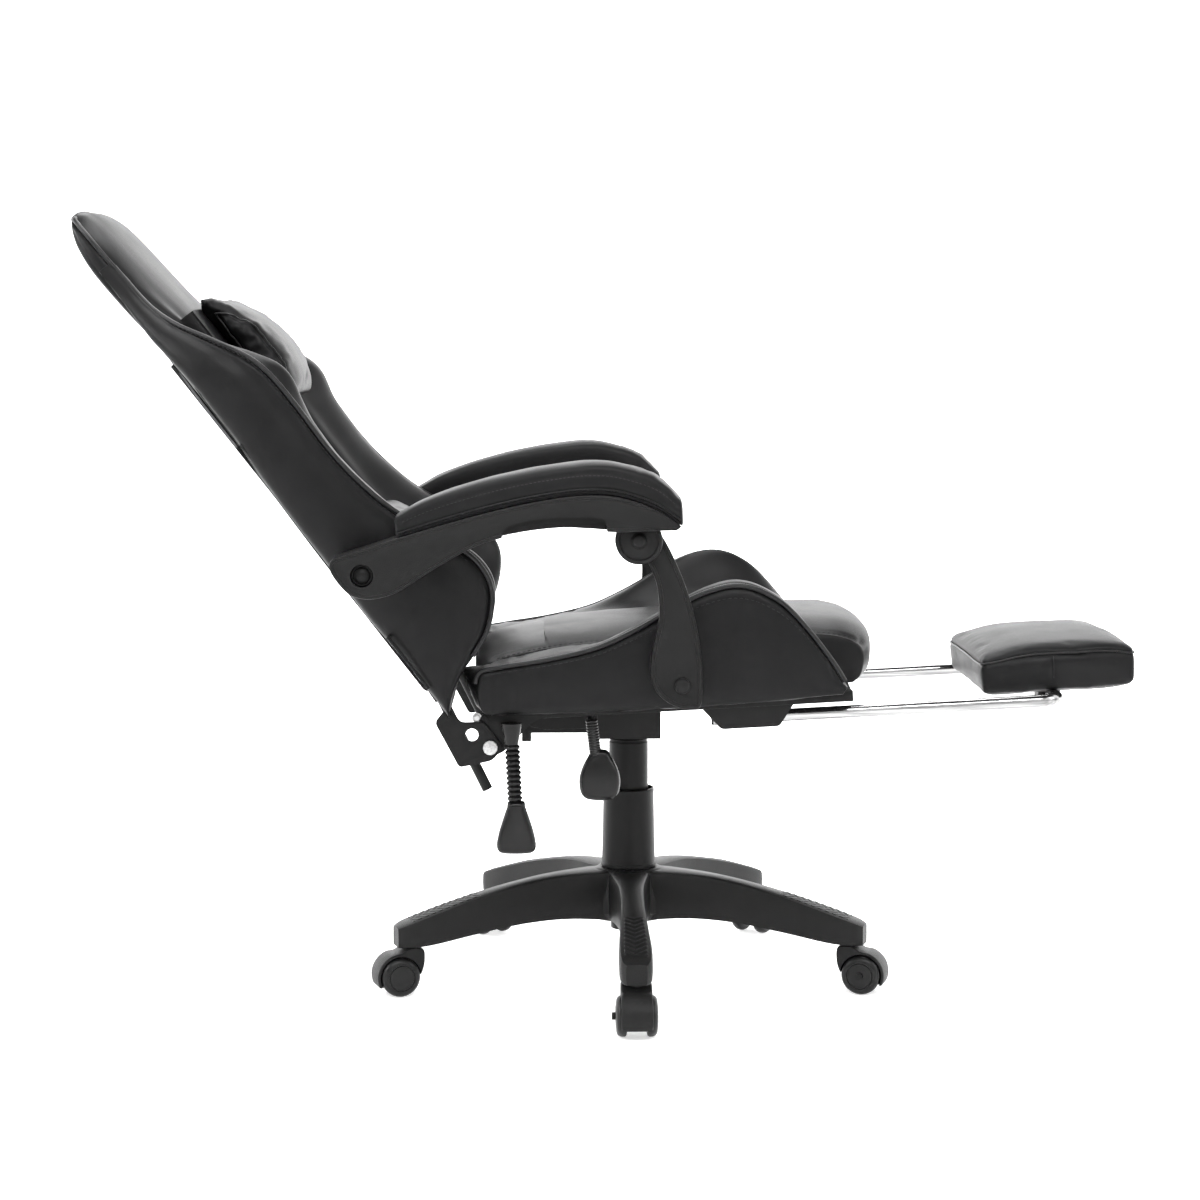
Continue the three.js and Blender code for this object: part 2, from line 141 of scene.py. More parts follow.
class Finish:
    """One material, built node by node, and the record's slot that it belongs to."""

    def __init__(self, name, slot):
        self.material = bpy.data.materials.new(name)
        self.material.use_nodes = True
        self.tree = self.material.node_tree
        self.tree.nodes.clear()
        self.slot = slot

    def math(self, operation, *values):
        return self.add("ShaderNodeMath", {"operation": operation}, dict(enumerate(values)))

    def add(self, kind, settings=(), inputs=(), output=0):
        node = self.tree.nodes.new(kind)
        for key, value in dict(settings).items():
            setattr(node, key, value)
        for key, value in dict(inputs).items():
            if isinstance(value, Wire):
                self.tree.links.new(value.socket, node.inputs[key])
            else:
                node.inputs[key].default_value = value
        return Wire(self, node.outputs[output]) if node.outputs else None

    def place(self, stretch=(1, 1, 1)):
        point = self.add("ShaderNodeTexCoord", output="Object")
        return self.add("ShaderNodeVectorMath", {"operation": "MULTIPLY"}, {0: point, 1: stretch})

    def cloud(self, scale, detail=3, stretch=(1, 1, 1), roughness=0.5):
        inputs = {"Vector": self.place(stretch), "Scale": scale, "Detail": detail, "Roughness": roughness}
        return self.add("ShaderNodeTexNoise", {}, inputs)

    def cells(self, scale, feature="F1", stretch=(1, 1, 1)):
        inputs = {"Vector": self.place(stretch), "Scale": scale}
        return self.add("ShaderNodeTexVoronoi", {"feature": feature}, inputs)

    def tint(self, share, low, high):
        inputs = {0: share, 6: (*low, 1), 7: (*high, 1)}
        return self.add("ShaderNodeMix", {"data_type": "RGBA"}, inputs, 2)

    def relief(self, height, strength, depth):
        return self.add("ShaderNodeBump", {}, {"Height": height, "Strength": strength, "Distance": depth})

    def close(self, **inputs):
        named = {key.replace("_", " "): value for key, value in inputs.items()}
        shader = self.add("ShaderNodeBsdfPrincipled", {}, named)
        self.add("ShaderNodeOutputMaterial", {}, {"Surface": shader})
        return self


print("a material is a list of add calls")

# %% [markdown]
# The upholstery is black PU leather: a fabric with a plastic skin that is rolled with a fine pebble grain. It
# is smoother where it is stretched and duller in its folds. Voronoi cells a millimetre wide make the grain,
# a slow cloud moves the gloss, and a thin coat gives the plastic skin its soft second highlight.
# %% Leather
def make_leather():
    f = Finish("grained_leather", "leather")
    grain = f.cells(820)
    pores = f.cloud(1900, 2)
    pull = f.cloud(16, 4, (1, 1, 1), 0.55)
    folds = f.cloud(70, 5, (1, 0.45, 1), 0.6)
    height = grain * 0.55 + pores * 0.2 + folds * 0.9
    colour = f.tint(pull, (0.0034, 0.0034, 0.0036), (0.0062, 0.0062, 0.0065))
    rough = (0.31 + 0.16 * pull + 0.08 * grain).clamped(0.28, 0.6)
    return f.close(
        Base_Color=colour,
        Roughness=rough,
        Specular_IOR_Level=0.13,
        Coat_Weight=0.01 + 0.04 * pull,
        Coat_Roughness=0.3,
        Normal=f.relief(height, 0.32, 0.0006),
    )


leather = make_leather()
print("leather has", len(leather.tree.nodes), "nodes")

# %% [markdown]
# Piping and thread are the same black, but a thread is spun: fine slanted ridges catch the light. Piping is
# leather rolled tight over a cord, so its grain is stretched flat and it shines more than the panels.
# %% Piping, thread and zip tape
def make_piping():
    f = Finish("rolled_piping", "leather")
    pull = f.cloud(90, 3)
    rough = 0.26 + 0.16 * pull
    colour = f.tint(pull, (0.0045, 0.0045, 0.0048), (0.0085, 0.0085, 0.009))
    return f.close(Base_Color=colour, Roughness=rough, Specular_IOR_Level=0.26,
                   Normal=f.relief(f.cells(900), 0.2, 0.0004))


def make_thread():
    f = Finish("spun_thread", "leather")
    strands = f.cloud(2600, 2, (1, 1, 0.4))
    colour = f.tint(strands, (0.007, 0.007, 0.0075), (0.022, 0.022, 0.023))
    return f.close(Base_Color=colour, Roughness=0.55 + 0.2 * strands, Specular_IOR_Level=0.2,
                   Normal=f.relief(strands, 0.5, 0.0003))


def make_webbing():
    f = Finish("woven_webbing", "webbing")
    point = f.add("ShaderNodeSeparateXYZ", {}, {0: f.place()}, "Y")
    length = f.add("ShaderNodeSeparateXYZ", {}, {0: f.place()}, "Z")
    weave = (point * 3900).wave() * (length * 3100).wave()
    dust = f.cloud(300, 3)
    colour = f.tint(0.5 + 0.4 * weave, (0.004, 0.004, 0.0042), (0.014, 0.014, 0.015))
    return f.close(Base_Color=colour, Roughness=0.72 + 0.2 * dust, Specular_IOR_Level=0.15,
                   Normal=f.relief(weave, 0.7, 0.0005))


piping = make_piping()
thread = make_thread()
webbing = make_webbing()
print("piping, thread and webbing are ready")

# %% [markdown]
# The hard black parts are told apart by their surface alone. Moulded nylon has a spark-eroded texture. The
# armrest plastic has the same texture, finer. Each plastic is a little lighter in slow random patches. Covers
# are satin, paddles are glossy. One maker with a few values serves them all.
# %% Moulded plastics
def make_plastic(name, slot, dark, light, rough, grain, depth, shine=0.17, coat=0.0):
    f = Finish(name, slot)
    speckle = f.cloud(grain, 2)
    pits = f.cells(grain * 0.7)
    handling = f.cloud(11, 3)
    colour = f.tint(handling, (dark,) * 3, (light,) * 3)
    gloss = (rough + 0.12 * handling - 0.06 * speckle).clamped(0.05, 1)
    bump = f.relief(speckle + pits * 0.6, 0.45, depth)
    return f.close(Base_Color=colour, Roughness=gloss, Specular_IOR_Level=shine, Coat_Weight=coat,
                   Coat_Roughness=0.2, Normal=bump)


nylon = make_plastic("textured_nylon", "nylon", 0.0040, 0.0085, 0.40, 1100, 0.0004, 0.17)
shell_plastic = make_plastic("armrest_plastic", "shell_plastic", 0.0050, 0.0090, 0.42, 1500, 0.0004, 0.16)
cover_plastic = make_plastic("satin_cover", "cover_plastic", 0.0036, 0.0060, 0.32, 700, 0.0002, 0.11, 0.02)
gloss_plastic = make_plastic("glossy_plastic", "gloss_plastic", 0.0030, 0.0048, 0.2, 500, 0.00012, 0.18, 0.08)
rim_plastic = make_plastic("wheel_plastic", "nylon", 0.0034, 0.0060, 0.3, 900, 0.0002, 0.22, 0.05)
print("five plastics")

# %% [markdown]
# Steel comes in four finishes: powder coat with its orange-peel skin, the column's darker coat, bright chrome
# on the sliding rods, and dull zinc plate on bolts. Zinc has a crystal pattern, so it gets Voronoi cells in
# its roughness and a random mottle in its colour. Chrome's colour is painted reflection: it is kept dark,
# with strong dark and light streaks stretched along the rods.
# %% Metals
def make_coat(name, slot, grey, rough):
    f = Finish(name, slot)
    peel = f.cloud(420, 2)
    rub = f.cloud(24, 4)
    colour = f.tint(rub, (grey,) * 3, (grey * 1.7,) * 3)
    return f.close(Base_Color=colour, Roughness=rough + 0.14 * rub, Specular_IOR_Level=0.16,
                   Normal=f.relief(peel, 0.4, 0.0004))


def make_metal(name, slot, dark, light, rough, pattern_scale, stretch):
    f = Finish(name, slot)
    # For chrome this is painted reflection, strong dark and light streaks in the base colour; for zinc it is
    # a random mottle.
    reflection_streaks_and_mottle = (f.cloud(pattern_scale, 3, stretch) * 2.4 - 0.7).clamped(0, 1)
    plate = f.add("ShaderNodeSeparateColor", {}, {0: f.add(
        "ShaderNodeTexVoronoi", {}, {"Vector": f.place(), "Scale": pattern_scale}, 1)})
    colour = f.tint(reflection_streaks_and_mottle, (dark,) * 3, (light,) * 3)
    gloss = (rough + 0.12 * reflection_streaks_and_mottle + 0.1 * plate).clamped(0.02, 1)
    bump = f.relief(reflection_streaks_and_mottle, 0.1, 0.0002)
    return f.close(Base_Color=colour, Metallic=1.0, Roughness=gloss, Normal=bump)


black_steel = make_coat("powder_coat", "black_steel", 0.0036, 0.38)
column_steel = make_coat("column_coat", "column_steel", 0.0036, 0.3)
# Chrome's base colour runs from 0.13 to 0.50 in painted reflection streaks, stretched along x.
chrome = make_metal("chrome_plate", "chrome", 0.13, 0.50, 0.05, 190, (0.03, 1, 1))
zinc = make_metal("zinc_plate", "zinc", 0.30, 0.52, 0.24, 420, (1, 1, 1))
print("steel, chrome and zinc")

# %% [markdown]
# Most lines on the chair are smooth curves through a few measured points. `smooth_line` runs a curve through
# them and returns evenly spaced points, so that the meshes built on it have even faces.
# %% Smooth lines
def smooth_line(points, count, closed=False):
    """count points, evenly spaced, on a smooth curve through the given points."""
    p = np.array(points, float)
    p = np.vstack([p[-1:], p, p[:2]]) if closed else np.vstack([2 * p[0] - p[1], p, 2 * p[-1] - p[-2]])
    t = np.concatenate([[0], np.cumsum(np.sqrt(np.linalg.norm(np.diff(p, axis=0), axis=1)) + 1e-9)])
    slope = [(p[i + 1] - p[i - 1]) / (t[i + 1] - t[i - 1]) for i in range(1, len(p) - 1)]
    dense = []
    for i in range(1, len(p) - 2):
        h = t[i + 1] - t[i]
        for u in np.linspace(0, 1, 20, endpoint=False):
            a, b = 2 * u**3 - 3 * u**2 + 1, u**3 - 2 * u**2 + u
            c, d = 3 * u**2 - 2 * u**3, u**3 - u**2
            dense.append(a * p[i] + b * h * slope[i - 1] + c * p[i + 1] + d * h * slope[i])
    dense.append(p[-2])
    return even(np.array(dense), count, closed)


def even(line, count, closed=False):
    """The same line with count evenly spaced points; a closed one doesn't repeat its first."""
    reach = np.concatenate([[0], np.cumsum(np.linalg.norm(np.diff(line, axis=0), axis=1))])
    at = np.linspace(0, reach[-1], count, endpoint=not closed)
    return np.stack([np.interp(at, reach, line[:, k]) for k in range(line.shape[1])], axis=1)


print("a line of", len(smooth_line([(0, 0), (1, 1), (2, 0)], 9)), "points from 3")

# %% [markdown]
# A skin over rings of points is the one mesh that almost every piece needs: a tube, a turned cover, a
# cushion. `loft` joins rings of equal length and closes both ends, so each piece is one closed body. `dress`
# gives it a finish, a body to ride on and the plain nodes that it stands for.
# %% Lofts
def new_mesh(name, points, faces, crease=40):
    mesh = bpy.data.meshes.new(name)
    mesh.from_pydata([tuple(p) for p in points], [], faces)
    shape = bmesh.new()
    shape.from_mesh(mesh)
    bmesh.ops.remove_doubles(shape, verts=shape.verts, dist=1e-6)
    bmesh.ops.recalc_face_normals(shape, faces=shape.faces)
    shape.to_mesh(mesh)
    shape.free()
    mesh.shade_smooth()
    mesh.set_sharp_from_angle(angle=math.radians(crease))
    obj = bpy.data.objects.new(name, mesh)
    bpy.context.scene.collection.objects.link(obj)
    return obj


def ring_faces(rows, across, first=0):
    faces = []
    for i in range(rows - 1):
        for j in range(across):
            k = (j + 1) % across
            a, b = first + i * across, first + (i + 1) * across
            faces.append((a + j, a + k, b + k, b + j))
    faces.append(tuple(first + j for j in range(across)))
    faces.append(tuple(first + (rows - 1) * across + j for j in range(across)))
    return faces


def loft(name, rings, crease=40):
    """A closed skin over rings of points."""
    rings = np.array(rings, float)
    rows, across, _ = rings.shape
    return new_mesh(name, rings.reshape(-1, 3), ring_faces(rows, across), crease)


def loft_all(name, parts, crease=40):
    """Several lofts as one piece."""
    points, faces = [], []
    for rings in parts:
        rings = np.array(rings, float)
        faces += ring_faces(rings.shape[0], rings.shape[1], len(points))
        points += list(rings.reshape(-1, 3))
    return new_mesh(name, points, faces, crease)


def dress(obj, finish, body, *nodes, fill=None):
    """Finish, body and the nodes that obj stands for; fill is not used."""
    obj.data.materials.clear()
    obj.data.materials.append(finish.material)
    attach(obj, body)
    if nodes:
        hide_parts(*nodes)
    return obj


print("lofts are ready")

# %% [markdown]
# Two ways to make rings. `sweep` carries a circle along a path, for rods, piping and thread. `turn` spins a
# profile about an axis, for covers, discs, wheels and bolts.
# %% Sweeps and turned parts
def sweep(path, radius, sides=10):
    """Rings of a round section along a path; radius may be one value or one for each point."""
    path = np.array([tuple(p) for p in path], float)
    radii = np.broadcast_to(radius, len(path))
    along = np.gradient(path, axis=0)
    along /= np.linalg.norm(along, axis=1)[:, None]
    across = np.cross(along[0], (0.31, 0.87, 0.38))
    rings = []
    for point, direction, r in zip(path, along, radii):
        across -= direction * (across @ direction)
        across /= np.linalg.norm(across)
        other = np.cross(direction, across)
        turns = [2 * math.pi * k / sides for k in range(sides)]
        rings.append([point + r * (math.cos(a) * across + math.sin(a) * other) for a in turns])
    return rings


def turn(profile, centre, axis, sides=48):
    """Rings of a profile of (radius, height) pairs about an axis through centre."""
    axis = Vector(axis).normalized()
    across = axis.orthogonal().normalized()
    other = axis.cross(across)
    turns = [2 * math.pi * k / sides for k in range(sides)]
    centre = Vector(centre)
    return [[centre + axis * h + (across * math.cos(a) + other * math.sin(a)) * max(r, 1e-5)
             for a in turns] for r, h in profile]


def stitches(path, pitch=0.0065, length=0.0044, radius=0.00055):
    """Rings of one small bead for each stitch along a path."""
    path = np.array([tuple(p) for p in path], float)
    reach = np.linalg.norm(np.diff(path, axis=0), axis=1).sum()
    count = max(2, int(reach / pitch))
    spots = even(path, count * 2 + 1)
    beads = []
    for i in range(1, len(spots) - 1, 2):
        step = spots[i + 1] - spots[i - 1]
        step = step / np.linalg.norm(step) * length / 2
        line = [spots[i] - step, spots[i] - step * 0.6, spots[i] + step * 0.6, spots[i] + step]
        beads.append(sweep(line, [radius * 0.3, radius, radius, radius * 0.3], 6))
    return beads


print("sweeps, turned parts and stitches")

# %% [markdown]
# A padded part is drawn by two lines seen from the side: where its cover is sewn down, and where its crown
# runs. `fan` spreads a section between the two lines at every step, so one call makes a wing, a bolster or an
# armrest pad. Each section is a closed run of (width, height) pairs, with height 0 on the sewn line and 1 on
# the crown line.
# %% Sections between two lines
def fan(inner, outer, section, place, rows, across):
    """Rings of section(share) between two side lines."""
    inner, outer = smooth_line(inner, rows), smooth_line(outer, rows)
    rings = []
    for i in range(rows):
        base, reach = inner[i], outer[i] - inner[i]
        ring = smooth_line(section(i / (rows - 1), outer[i]), across, closed=True)
        rings.append([place(base[0] + reach[0] * h, y, base[1] + reach[1] * h) for y, h in ring])
    return np.array([[tuple(p) for p in ring] for ring in rings])


def round_ends(rings, first, last, steps=5):
    """The rings with domed ends, standing out by first and last."""
    rings = np.array(rings, float)
    angles = [math.radians(85) * (k + 1) / steps for k in range(steps)]

    def dome(ring, direction, bulge):
        middle = ring.mean(axis=0)
        direction = direction / np.linalg.norm(direction)
        return [middle + (ring - middle) * math.cos(a) ** 0.6 + direction * bulge * math.sin(a)
                for a in angles]

    start = dome(rings[0], (rings[0] - rings[1]).mean(axis=0), first)[::-1]
    end = dome(rings[-1], (rings[-1] - rings[-2]).mean(axis=0), last)
    return np.concatenate([start, rings, end])


def mirrored(half):
    """A section closed by its mirror image; half runs from the middle plane round to it again."""
    return half + [(-y, h) for y, h in reversed(half) if abs(y) > 1e-9]


print("sections are ready")

# %% [markdown]
# Leather isn't a smooth surface. `press` sinks a skin along a seam, and `ruffle` moves it in and out by a
# cloud of any stretch, which makes the long soft folds of a cover that is pulled over foam.
# %% Seams and folds in the skin
def press(obj, path, depth, width):
    """Sinks the skin along a path."""
    tree = kdtree.KDTree(len(path))
    for i, p in enumerate(path):
        tree.insert(p, i)
    tree.balance()
    moves = []
    for v in obj.data.vertices:
        _, _, far = tree.find(v.co)
        moves.append(v.normal * (depth * math.exp(-((far / width) ** 2))))
    for v, move in zip(obj.data.vertices, moves):
        v.co -= move
    obj.data.update()


def ruffle(obj, depth, size, stretch=(1, 1, 1), seed=0.0, where=None):
    """Moves the skin in and out by a smooth cloud, folds about size metres apart."""
    moves = []
    for v in obj.data.vertices:
        p = Vector((v.co.x * stretch[0], v.co.y * stretch[1], v.co.z * stretch[2])) / size
        lift = noise.noise(p + Vector((seed, seed * 1.7, -seed)))
        moves.append(v.normal * (depth * lift * (where(v.co) if where else 1.0)))
    for v, move in zip(obj.data.vertices, moves):
        v.co += move
    obj.data.update()


print("press and ruffle are ready")

# %% [markdown]
# Loose cushions are stuffed bags, so they are puffed by a cloth simulation: the bag is remeshed evenly, blown
# up by pressure with gravity off, and its move is capped. It then keeps the small creases that a taut cover
# gets at its edges. Seams are added after, because the remesh would erase them.
# %% Stuffing a cushion
def stuff(obj, voxel, cap, pressure=4.0, frames=20):
    """Puffs obj like a filled bag, by at most cap, and leaves a plain mesh."""
    remesh = obj.modifiers.new("even", "REMESH")
    remesh.mode = "VOXEL"
    remesh.voxel_size = voxel
    bake(obj)
    rest = np.array([v.co for v in obj.data.vertices])
    cloth = obj.modifiers.new("bag", "CLOTH")
    cloth.settings.use_pressure = True
    cloth.settings.uniform_pressure_force = pressure
    cloth.settings.effector_weights.gravity = 0
    cloth.settings.mass = 0.35
    cloth.settings.tension_stiffness = 18
    cloth.settings.bending_stiffness = 0.6
    cloth.point_cache.frame_end = frames
    for k in range(1, frames + 1):
        bpy.context.scene.frame_set(k)
    bake(obj)
    bpy.context.scene.frame_set(1)
    moved = np.array([v.co for v in obj.data.vertices])
    step = moved - rest
    far = np.linalg.norm(step, axis=1)
    step *= np.minimum(1, cap / np.maximum(far, 1e-9))[:, None]
    obj.data.vertices.foreach_set("co", (rest + step).ravel())
    obj.data.update()
    print(obj.name, "puffed by", round(1000 * min(cap, float(far.max())), 1), "mm at most")
    return obj


def bake(obj):
    """Applies every modifier on obj."""
    dg = bpy.context.evaluated_depsgraph_get()
    dg.update()
    mesh = bpy.data.meshes.new_from_object(obj.evaluated_get(dg), depsgraph=dg)
    obj.modifiers.clear()
    obj.data = mesh
    mesh.shade_smooth()
    return obj


def smoothed(obj, rounds=2, levels=1):
    """Evens out small steps and adds one subdivision."""
    soft = obj.modifiers.new("soft", "SMOOTH")
    soft.factor = 0.5
    soft.iterations = rounds
    fine = obj.modifiers.new("fine", "SUBSURF")
    fine.levels = levels
    return bake(obj)


print("the full run", "stuffs the cushions")

# %% [markdown]
# Steel parts keep the frame's shape and only lose their razor edges: a copy of the node's mesh is cleaned of
# its extra edges and bevelled by about a millimetre, as a pressed or cast part would be.
# %% Soft edges on hard parts
def eased(node, finish, width=0.0008):
    """A copy of a node with bevelled edges, standing for it."""
    source = frame["nodes"][node]
    shape = bmesh.new()
    shape.from_mesh(source.data)
    bmesh.ops.remove_doubles(shape, verts=shape.verts, dist=2e-6)
    bmesh.ops.dissolve_limit(shape, angle_limit=math.radians(1.5), verts=shape.verts, edges=shape.edges)
    sharp = [e for e in shape.edges if len(e.link_faces) == 2 and e.calc_face_angle() > math.radians(32)]
    bmesh.ops.bevel(shape, geom=sharp, offset=width, segments=2, profile=0.6, affect="EDGES",
                    clamp_overlap=True)
    mesh = bpy.data.meshes.new(node)
    shape.to_mesh(mesh)
    shape.free()
    mesh.shade_smooth()
    mesh.set_sharp_from_angle(angle=math.radians(38))
    obj = bpy.data.objects.new(f"{node}_eased", mesh)
    bpy.context.scene.collection.objects.link(obj)
    return dress(obj, finish, source["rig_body"], node)


print("hard parts can be eased")

# %% [markdown]
# Moulded and pressed parts are flat shapes with a rim, a rounded edge or a raised face. `layered` stacks
# copies of one outline, each moved inwards a little, from one face through the part to the other.
# %% Parts from one outline
def moved_in(outline, inset, share=None):
    """The outline moved inwards by inset; share(a, b) says how much of it a point gets."""
    line = np.array(outline, float)
    along = np.roll(line, -1, axis=0) - np.roll(line, 1, axis=0)
    along /= np.linalg.norm(along, axis=1)[:, None] + 1e-12
    turned_left = np.stack([-along[:, 1], along[:, 0]], axis=1)
    x, y = line[:, 0], line[:, 1]
    area = (x * np.roll(y, -1) - y * np.roll(x, -1)).sum()
    shares = np.array([share(a, b) for a, b in line])[:, None] if share else 1.0
    return line + turned_left * inset * shares * (1 if area > 0 else -1)


def layered(outline, layers, place, share=None):
    """Rings of the outline for each (inset, depth) layer; place(a, depth, b) puts a point."""
    return [[place(a, depth, b) for a, b in moved_in(outline, inset, share)] for inset, depth in layers]


def rounded(near, far, radius, steps=3):
    """Layers of a plate between two depths whose edges are rounded."""
    way = 1 if far > near else -1
    turns = [math.pi / 2 * k / steps for k in range(steps + 1)]
    edge = [(radius * (1 - math.sin(a)), radius * (1 - math.cos(a))) for a in turns]
    return [(i, near + way * d) for i, d in edge] + [(i, far - way * d) for i, d in reversed(edge)]


def united(name, *parts, cut=(), crease=35, folded=False):
    """One solid from several lofts, less those in cut; folded says that a loft may cross itself."""
    made = [loft(f"{name}_{i}", rings) for i, rings in enumerate([*parts, *cut])]
    body, rest = made[0], made[1:]
    for i, other in enumerate(rest):
        step = body.modifiers.new("step", "BOOLEAN")
        step.operation = "UNION" if i < len(parts) - 1 else "DIFFERENCE"
        step.solver = "EXACT"
        step.use_self = folded
        step.object = other
    bake(body)
    for other in rest:
        bpy.data.objects.remove(other)
    body.name = name
    body.data.set_sharp_from_angle(angle=math.radians(crease))
    return body


print("outlines can be layered and joined")

# %% [markdown]
# ## The base
# The base is one injection moulding in glass-filled nylon: a hub with a tapered bore and legs that fall
# towards their ends. Each leg is a loft whose width, top and bottom change along its length, and the hub is a
# turned part whose rim swells towards each leg. They are joined into one solid, as they are moulded.
# %% Star base
LEG_ANGLES = [math.atan2(joint[f"castor_{i}_swivel"]["pos_m"][1], joint[f"castor_{i}_swivel"]["pos_m"][0]
                         - swivel.x) for i in range(1, 6)]
LEG_TOP = [(0.030, 0.1440), (0.055, 0.1440), (0.123, 0.1385), (0.208, 0.1210), (0.300, 0.0935),
           (0.315, 0.0870)]
LEG_FOOT = [(0.030, 0.080), (0.087, 0.084), (0.147, 0.0815), (0.208, 0.0735), (0.277, 0.063), (0.315, 0.062)]
LEG_WIDTH = [(0.030, 0.0290), (0.060, 0.0240), (0.110, 0.0172), (0.160, 0.0160), (0.220, 0.0180),
             (0.270, 0.0205), (0.300, 0.0200), (0.310, 0.0176), (0.315, 0.0130)]


@lru_cache(maxsize=64)
def curve_of(line):
    return smooth_line(line, 90)


def height_of(line, r):
    """The height of a line of (along, height) points at r."""
    points = curve_of(tuple(line))
    return float(np.interp(r, points[:, 0], points[:, 1]))


def spun(x, y, z, angle):
    """A point drawn along a leg, turned to that leg's angle."""
    c, s = math.cos(angle), math.sin(angle)
    return at_level(x * c - y * s, x * s + y * c, z)


LEG_SECTION = [(-0.88, 0), (-0.97, 0.1), (-1, 0.45), (-0.98, 0.86), (-0.9, 0.965), (-0.72, 1), (0, 1.01)]


def leg(angle):
    steps = [*np.linspace(0.030, 0.300, 26), 0.306, 0.311, 0.314, 0.3155]
    rings = []
    for r in steps:
        top, foot, half = (height_of(line, r) for line in (LEG_TOP, LEG_FOOT, LEG_WIDTH))
        ring = [(w * half, foot + (top - foot) * h) for w, h in mirrored(LEG_SECTION)]
        rings.append([spun(r, y, z, angle) for y, z in ring])
    return rings


def hub():
    profile = [(0.0236, 0.080), (0.042, 0.078), (0.047, 0.080), (0.055, 0.090), (0.0550, 0.108),
               (0.051, 0.130), (0.047, 0.141), (0.043, 0.1448), (0.039, 0.1458), (0.0236, 0.1462)]
    rings = []
    for r, z in profile:
        swell = 0.004 * min(1, max(0, (r - 0.03) / 0.02))
        ring = []
        for k in range(80):
            a = 2 * math.pi * k / 80
            wide = r + swell * math.cos(5 * (a - LEG_ANGLES[0]))
            ring.append(at_level(wide * math.cos(a), wide * math.sin(a), z))
        rings.append(ring)
    return rings


bore = turn([(0.0236, -0.08), (0.0236, 0.08)], at_level(0, 0, 0.105), (0, 0, 1), 40)
star = united("star_base_moulding", hub(), *[leg(a) for a in LEG_ANGLES], cut=[bore])
dress(star, nylon, "base", "star_base")
print("the base has", len(star.data.polygons), "faces")

# %% [markdown]
# A foot slips on smooth nylon, so each leg carries a moulded tread on its outer third: chevrons that point
# outwards, almost flush with the leg. They are real ridges here, in a fine grid laid on the leg's curved top.
# %% Chevron treads
TREAD_FROM, TREAD_TO = 0.205, 0.297
CHEVRON_PITCH = 0.0095


def tread(angle):
    rings = []
    for r in np.linspace(TREAD_FROM, TREAD_TO, 120):
        top = height_of(LEG_TOP, r)
        half = height_of(LEG_WIDTH, r) * 0.70
        near_end = min(r - TREAD_FROM, TREAD_TO - r)
        ring = []
        for y in np.linspace(-half, half, 25):
            phase = (r + abs(y) * 0.75) / CHEVRON_PITCH
            ridge = min(1, max(0, 2.2 * math.sin(2 * math.pi * phase) + 0.6))
            edge = min(1, (half - abs(y)) / 0.0012, near_end / 0.002)
            ring.append(spun(r, y, top + 0.0001 + (0.0003 + 0.0006 * ridge) * max(0, edge), angle))
        ring += [spun(r, y, top - 0.002, angle) for y in (half, -half)]
        rings.append(ring)
    return rings


for number, angle in enumerate(LEG_ANGLES, 1):
    dress(loft(f"leg_tread_{number}", tread(angle), 30), shell_plastic, "base")
print("treads from", TREAD_FROM, "to", TREAD_TO, "m along each leg")

# %% [markdown]
# ## Castors
# A castor is a hood over a pair of wheels on one axle. The hood hugs the wheels and its arc is centred on
# the axle, so the wheels are turned out of it by subtraction. One hood and one wheel set are drawn along a
# leg and then turned to each leg's angle.
# %% Castor hoods and wheels
axle = joint["castor_1_roll"]["pos_m"]
stem = joint["castor_1_swivel"]["pos_m"]
CIRCLE = math.hypot(stem[0] - swivel.x, stem[1])
TRAIL = math.hypot(axle[0] - stem[0], axle[1] - stem[1])
WHEEL = axle[2]
HOOD = WHEEL + 0.0048


def hood_outline():
    arc = [(TRAIL + HOOD * math.cos(a), WHEEL + HOOD * math.sin(a))
           for a in np.radians(np.linspace(92, -24, 16))]
    return smooth_line([*arc[::3], (TRAIL + 0.022, 0.0126), (TRAIL + 0.010, 0.0124), (0.004, 0.0128),
                        (-0.006, 0.0220), (-0.0125, 0.036), (-0.0142, 0.050), (-0.0125, 0.0590),
                        (-0.006, 0.0612), (0.006, 0.0610)], 110, True)


HOOD_LAYERS = [(0.0030, -0.0190), (0.0012, -0.0186), (0.0003, -0.0176), (0, -0.0160), (0, 0.0160),
               (0.0003, 0.0176), (0.0012, 0.0186), (0.0030, 0.0190)]
WHEEL_SIDE = [(0.0040, 0.012), (0.0215, 0.0120), (0.0240, 0.0128), (0.0249, 0.0146), (0.0250, 0.0180),
              (0.0246, 0.0203), (0.0232, 0.0226), (0.0210, 0.0241), (0.0182, 0.0249), (0.0172, 0.0249),
              (0.0168, 0.0241), (0.0160, 0.0241), (0.0155, 0.0250), (0.0120, 0.0256), (0.0060, 0.0259),
              (0.0001, 0.0260)]


def drawn(x, y, z):
    return Vector((x, y, z))


def castor_hood():
    body = layered(hood_outline(), HOOD_LAYERS, drawn)
    collar = turn([(0.0118, 0.056), (0.0118, 0.0618), (0.0070, 0.0620), (0.0056, 0.0625), (0.0056, 0.090)],
                  (0, 0, 0), (0, 0, 1), 32)
    wells = [turn([(WHEEL + 0.0017, 0.0112), (WHEEL + 0.0017, 0.040)], (TRAIL, 0, WHEEL), (0, s, 0), 56)
             for s in (-1, 1)]
    bore_hole = turn([(0.0046, -0.03), (0.0046, 0.03)], (TRAIL, 0, WHEEL), (0, 1, 0), 24)
    return united("castor_hood", body, collar, cut=[*wells, bore_hole], folded=True)


def castor_wheels():
    left = [(r, -y) for r, y in reversed(WHEEL_SIDE)]
    return loft("castor_wheels", turn(left + WHEEL_SIDE, (TRAIL, 0, WHEEL), (0, 1, 0), 56), 50)


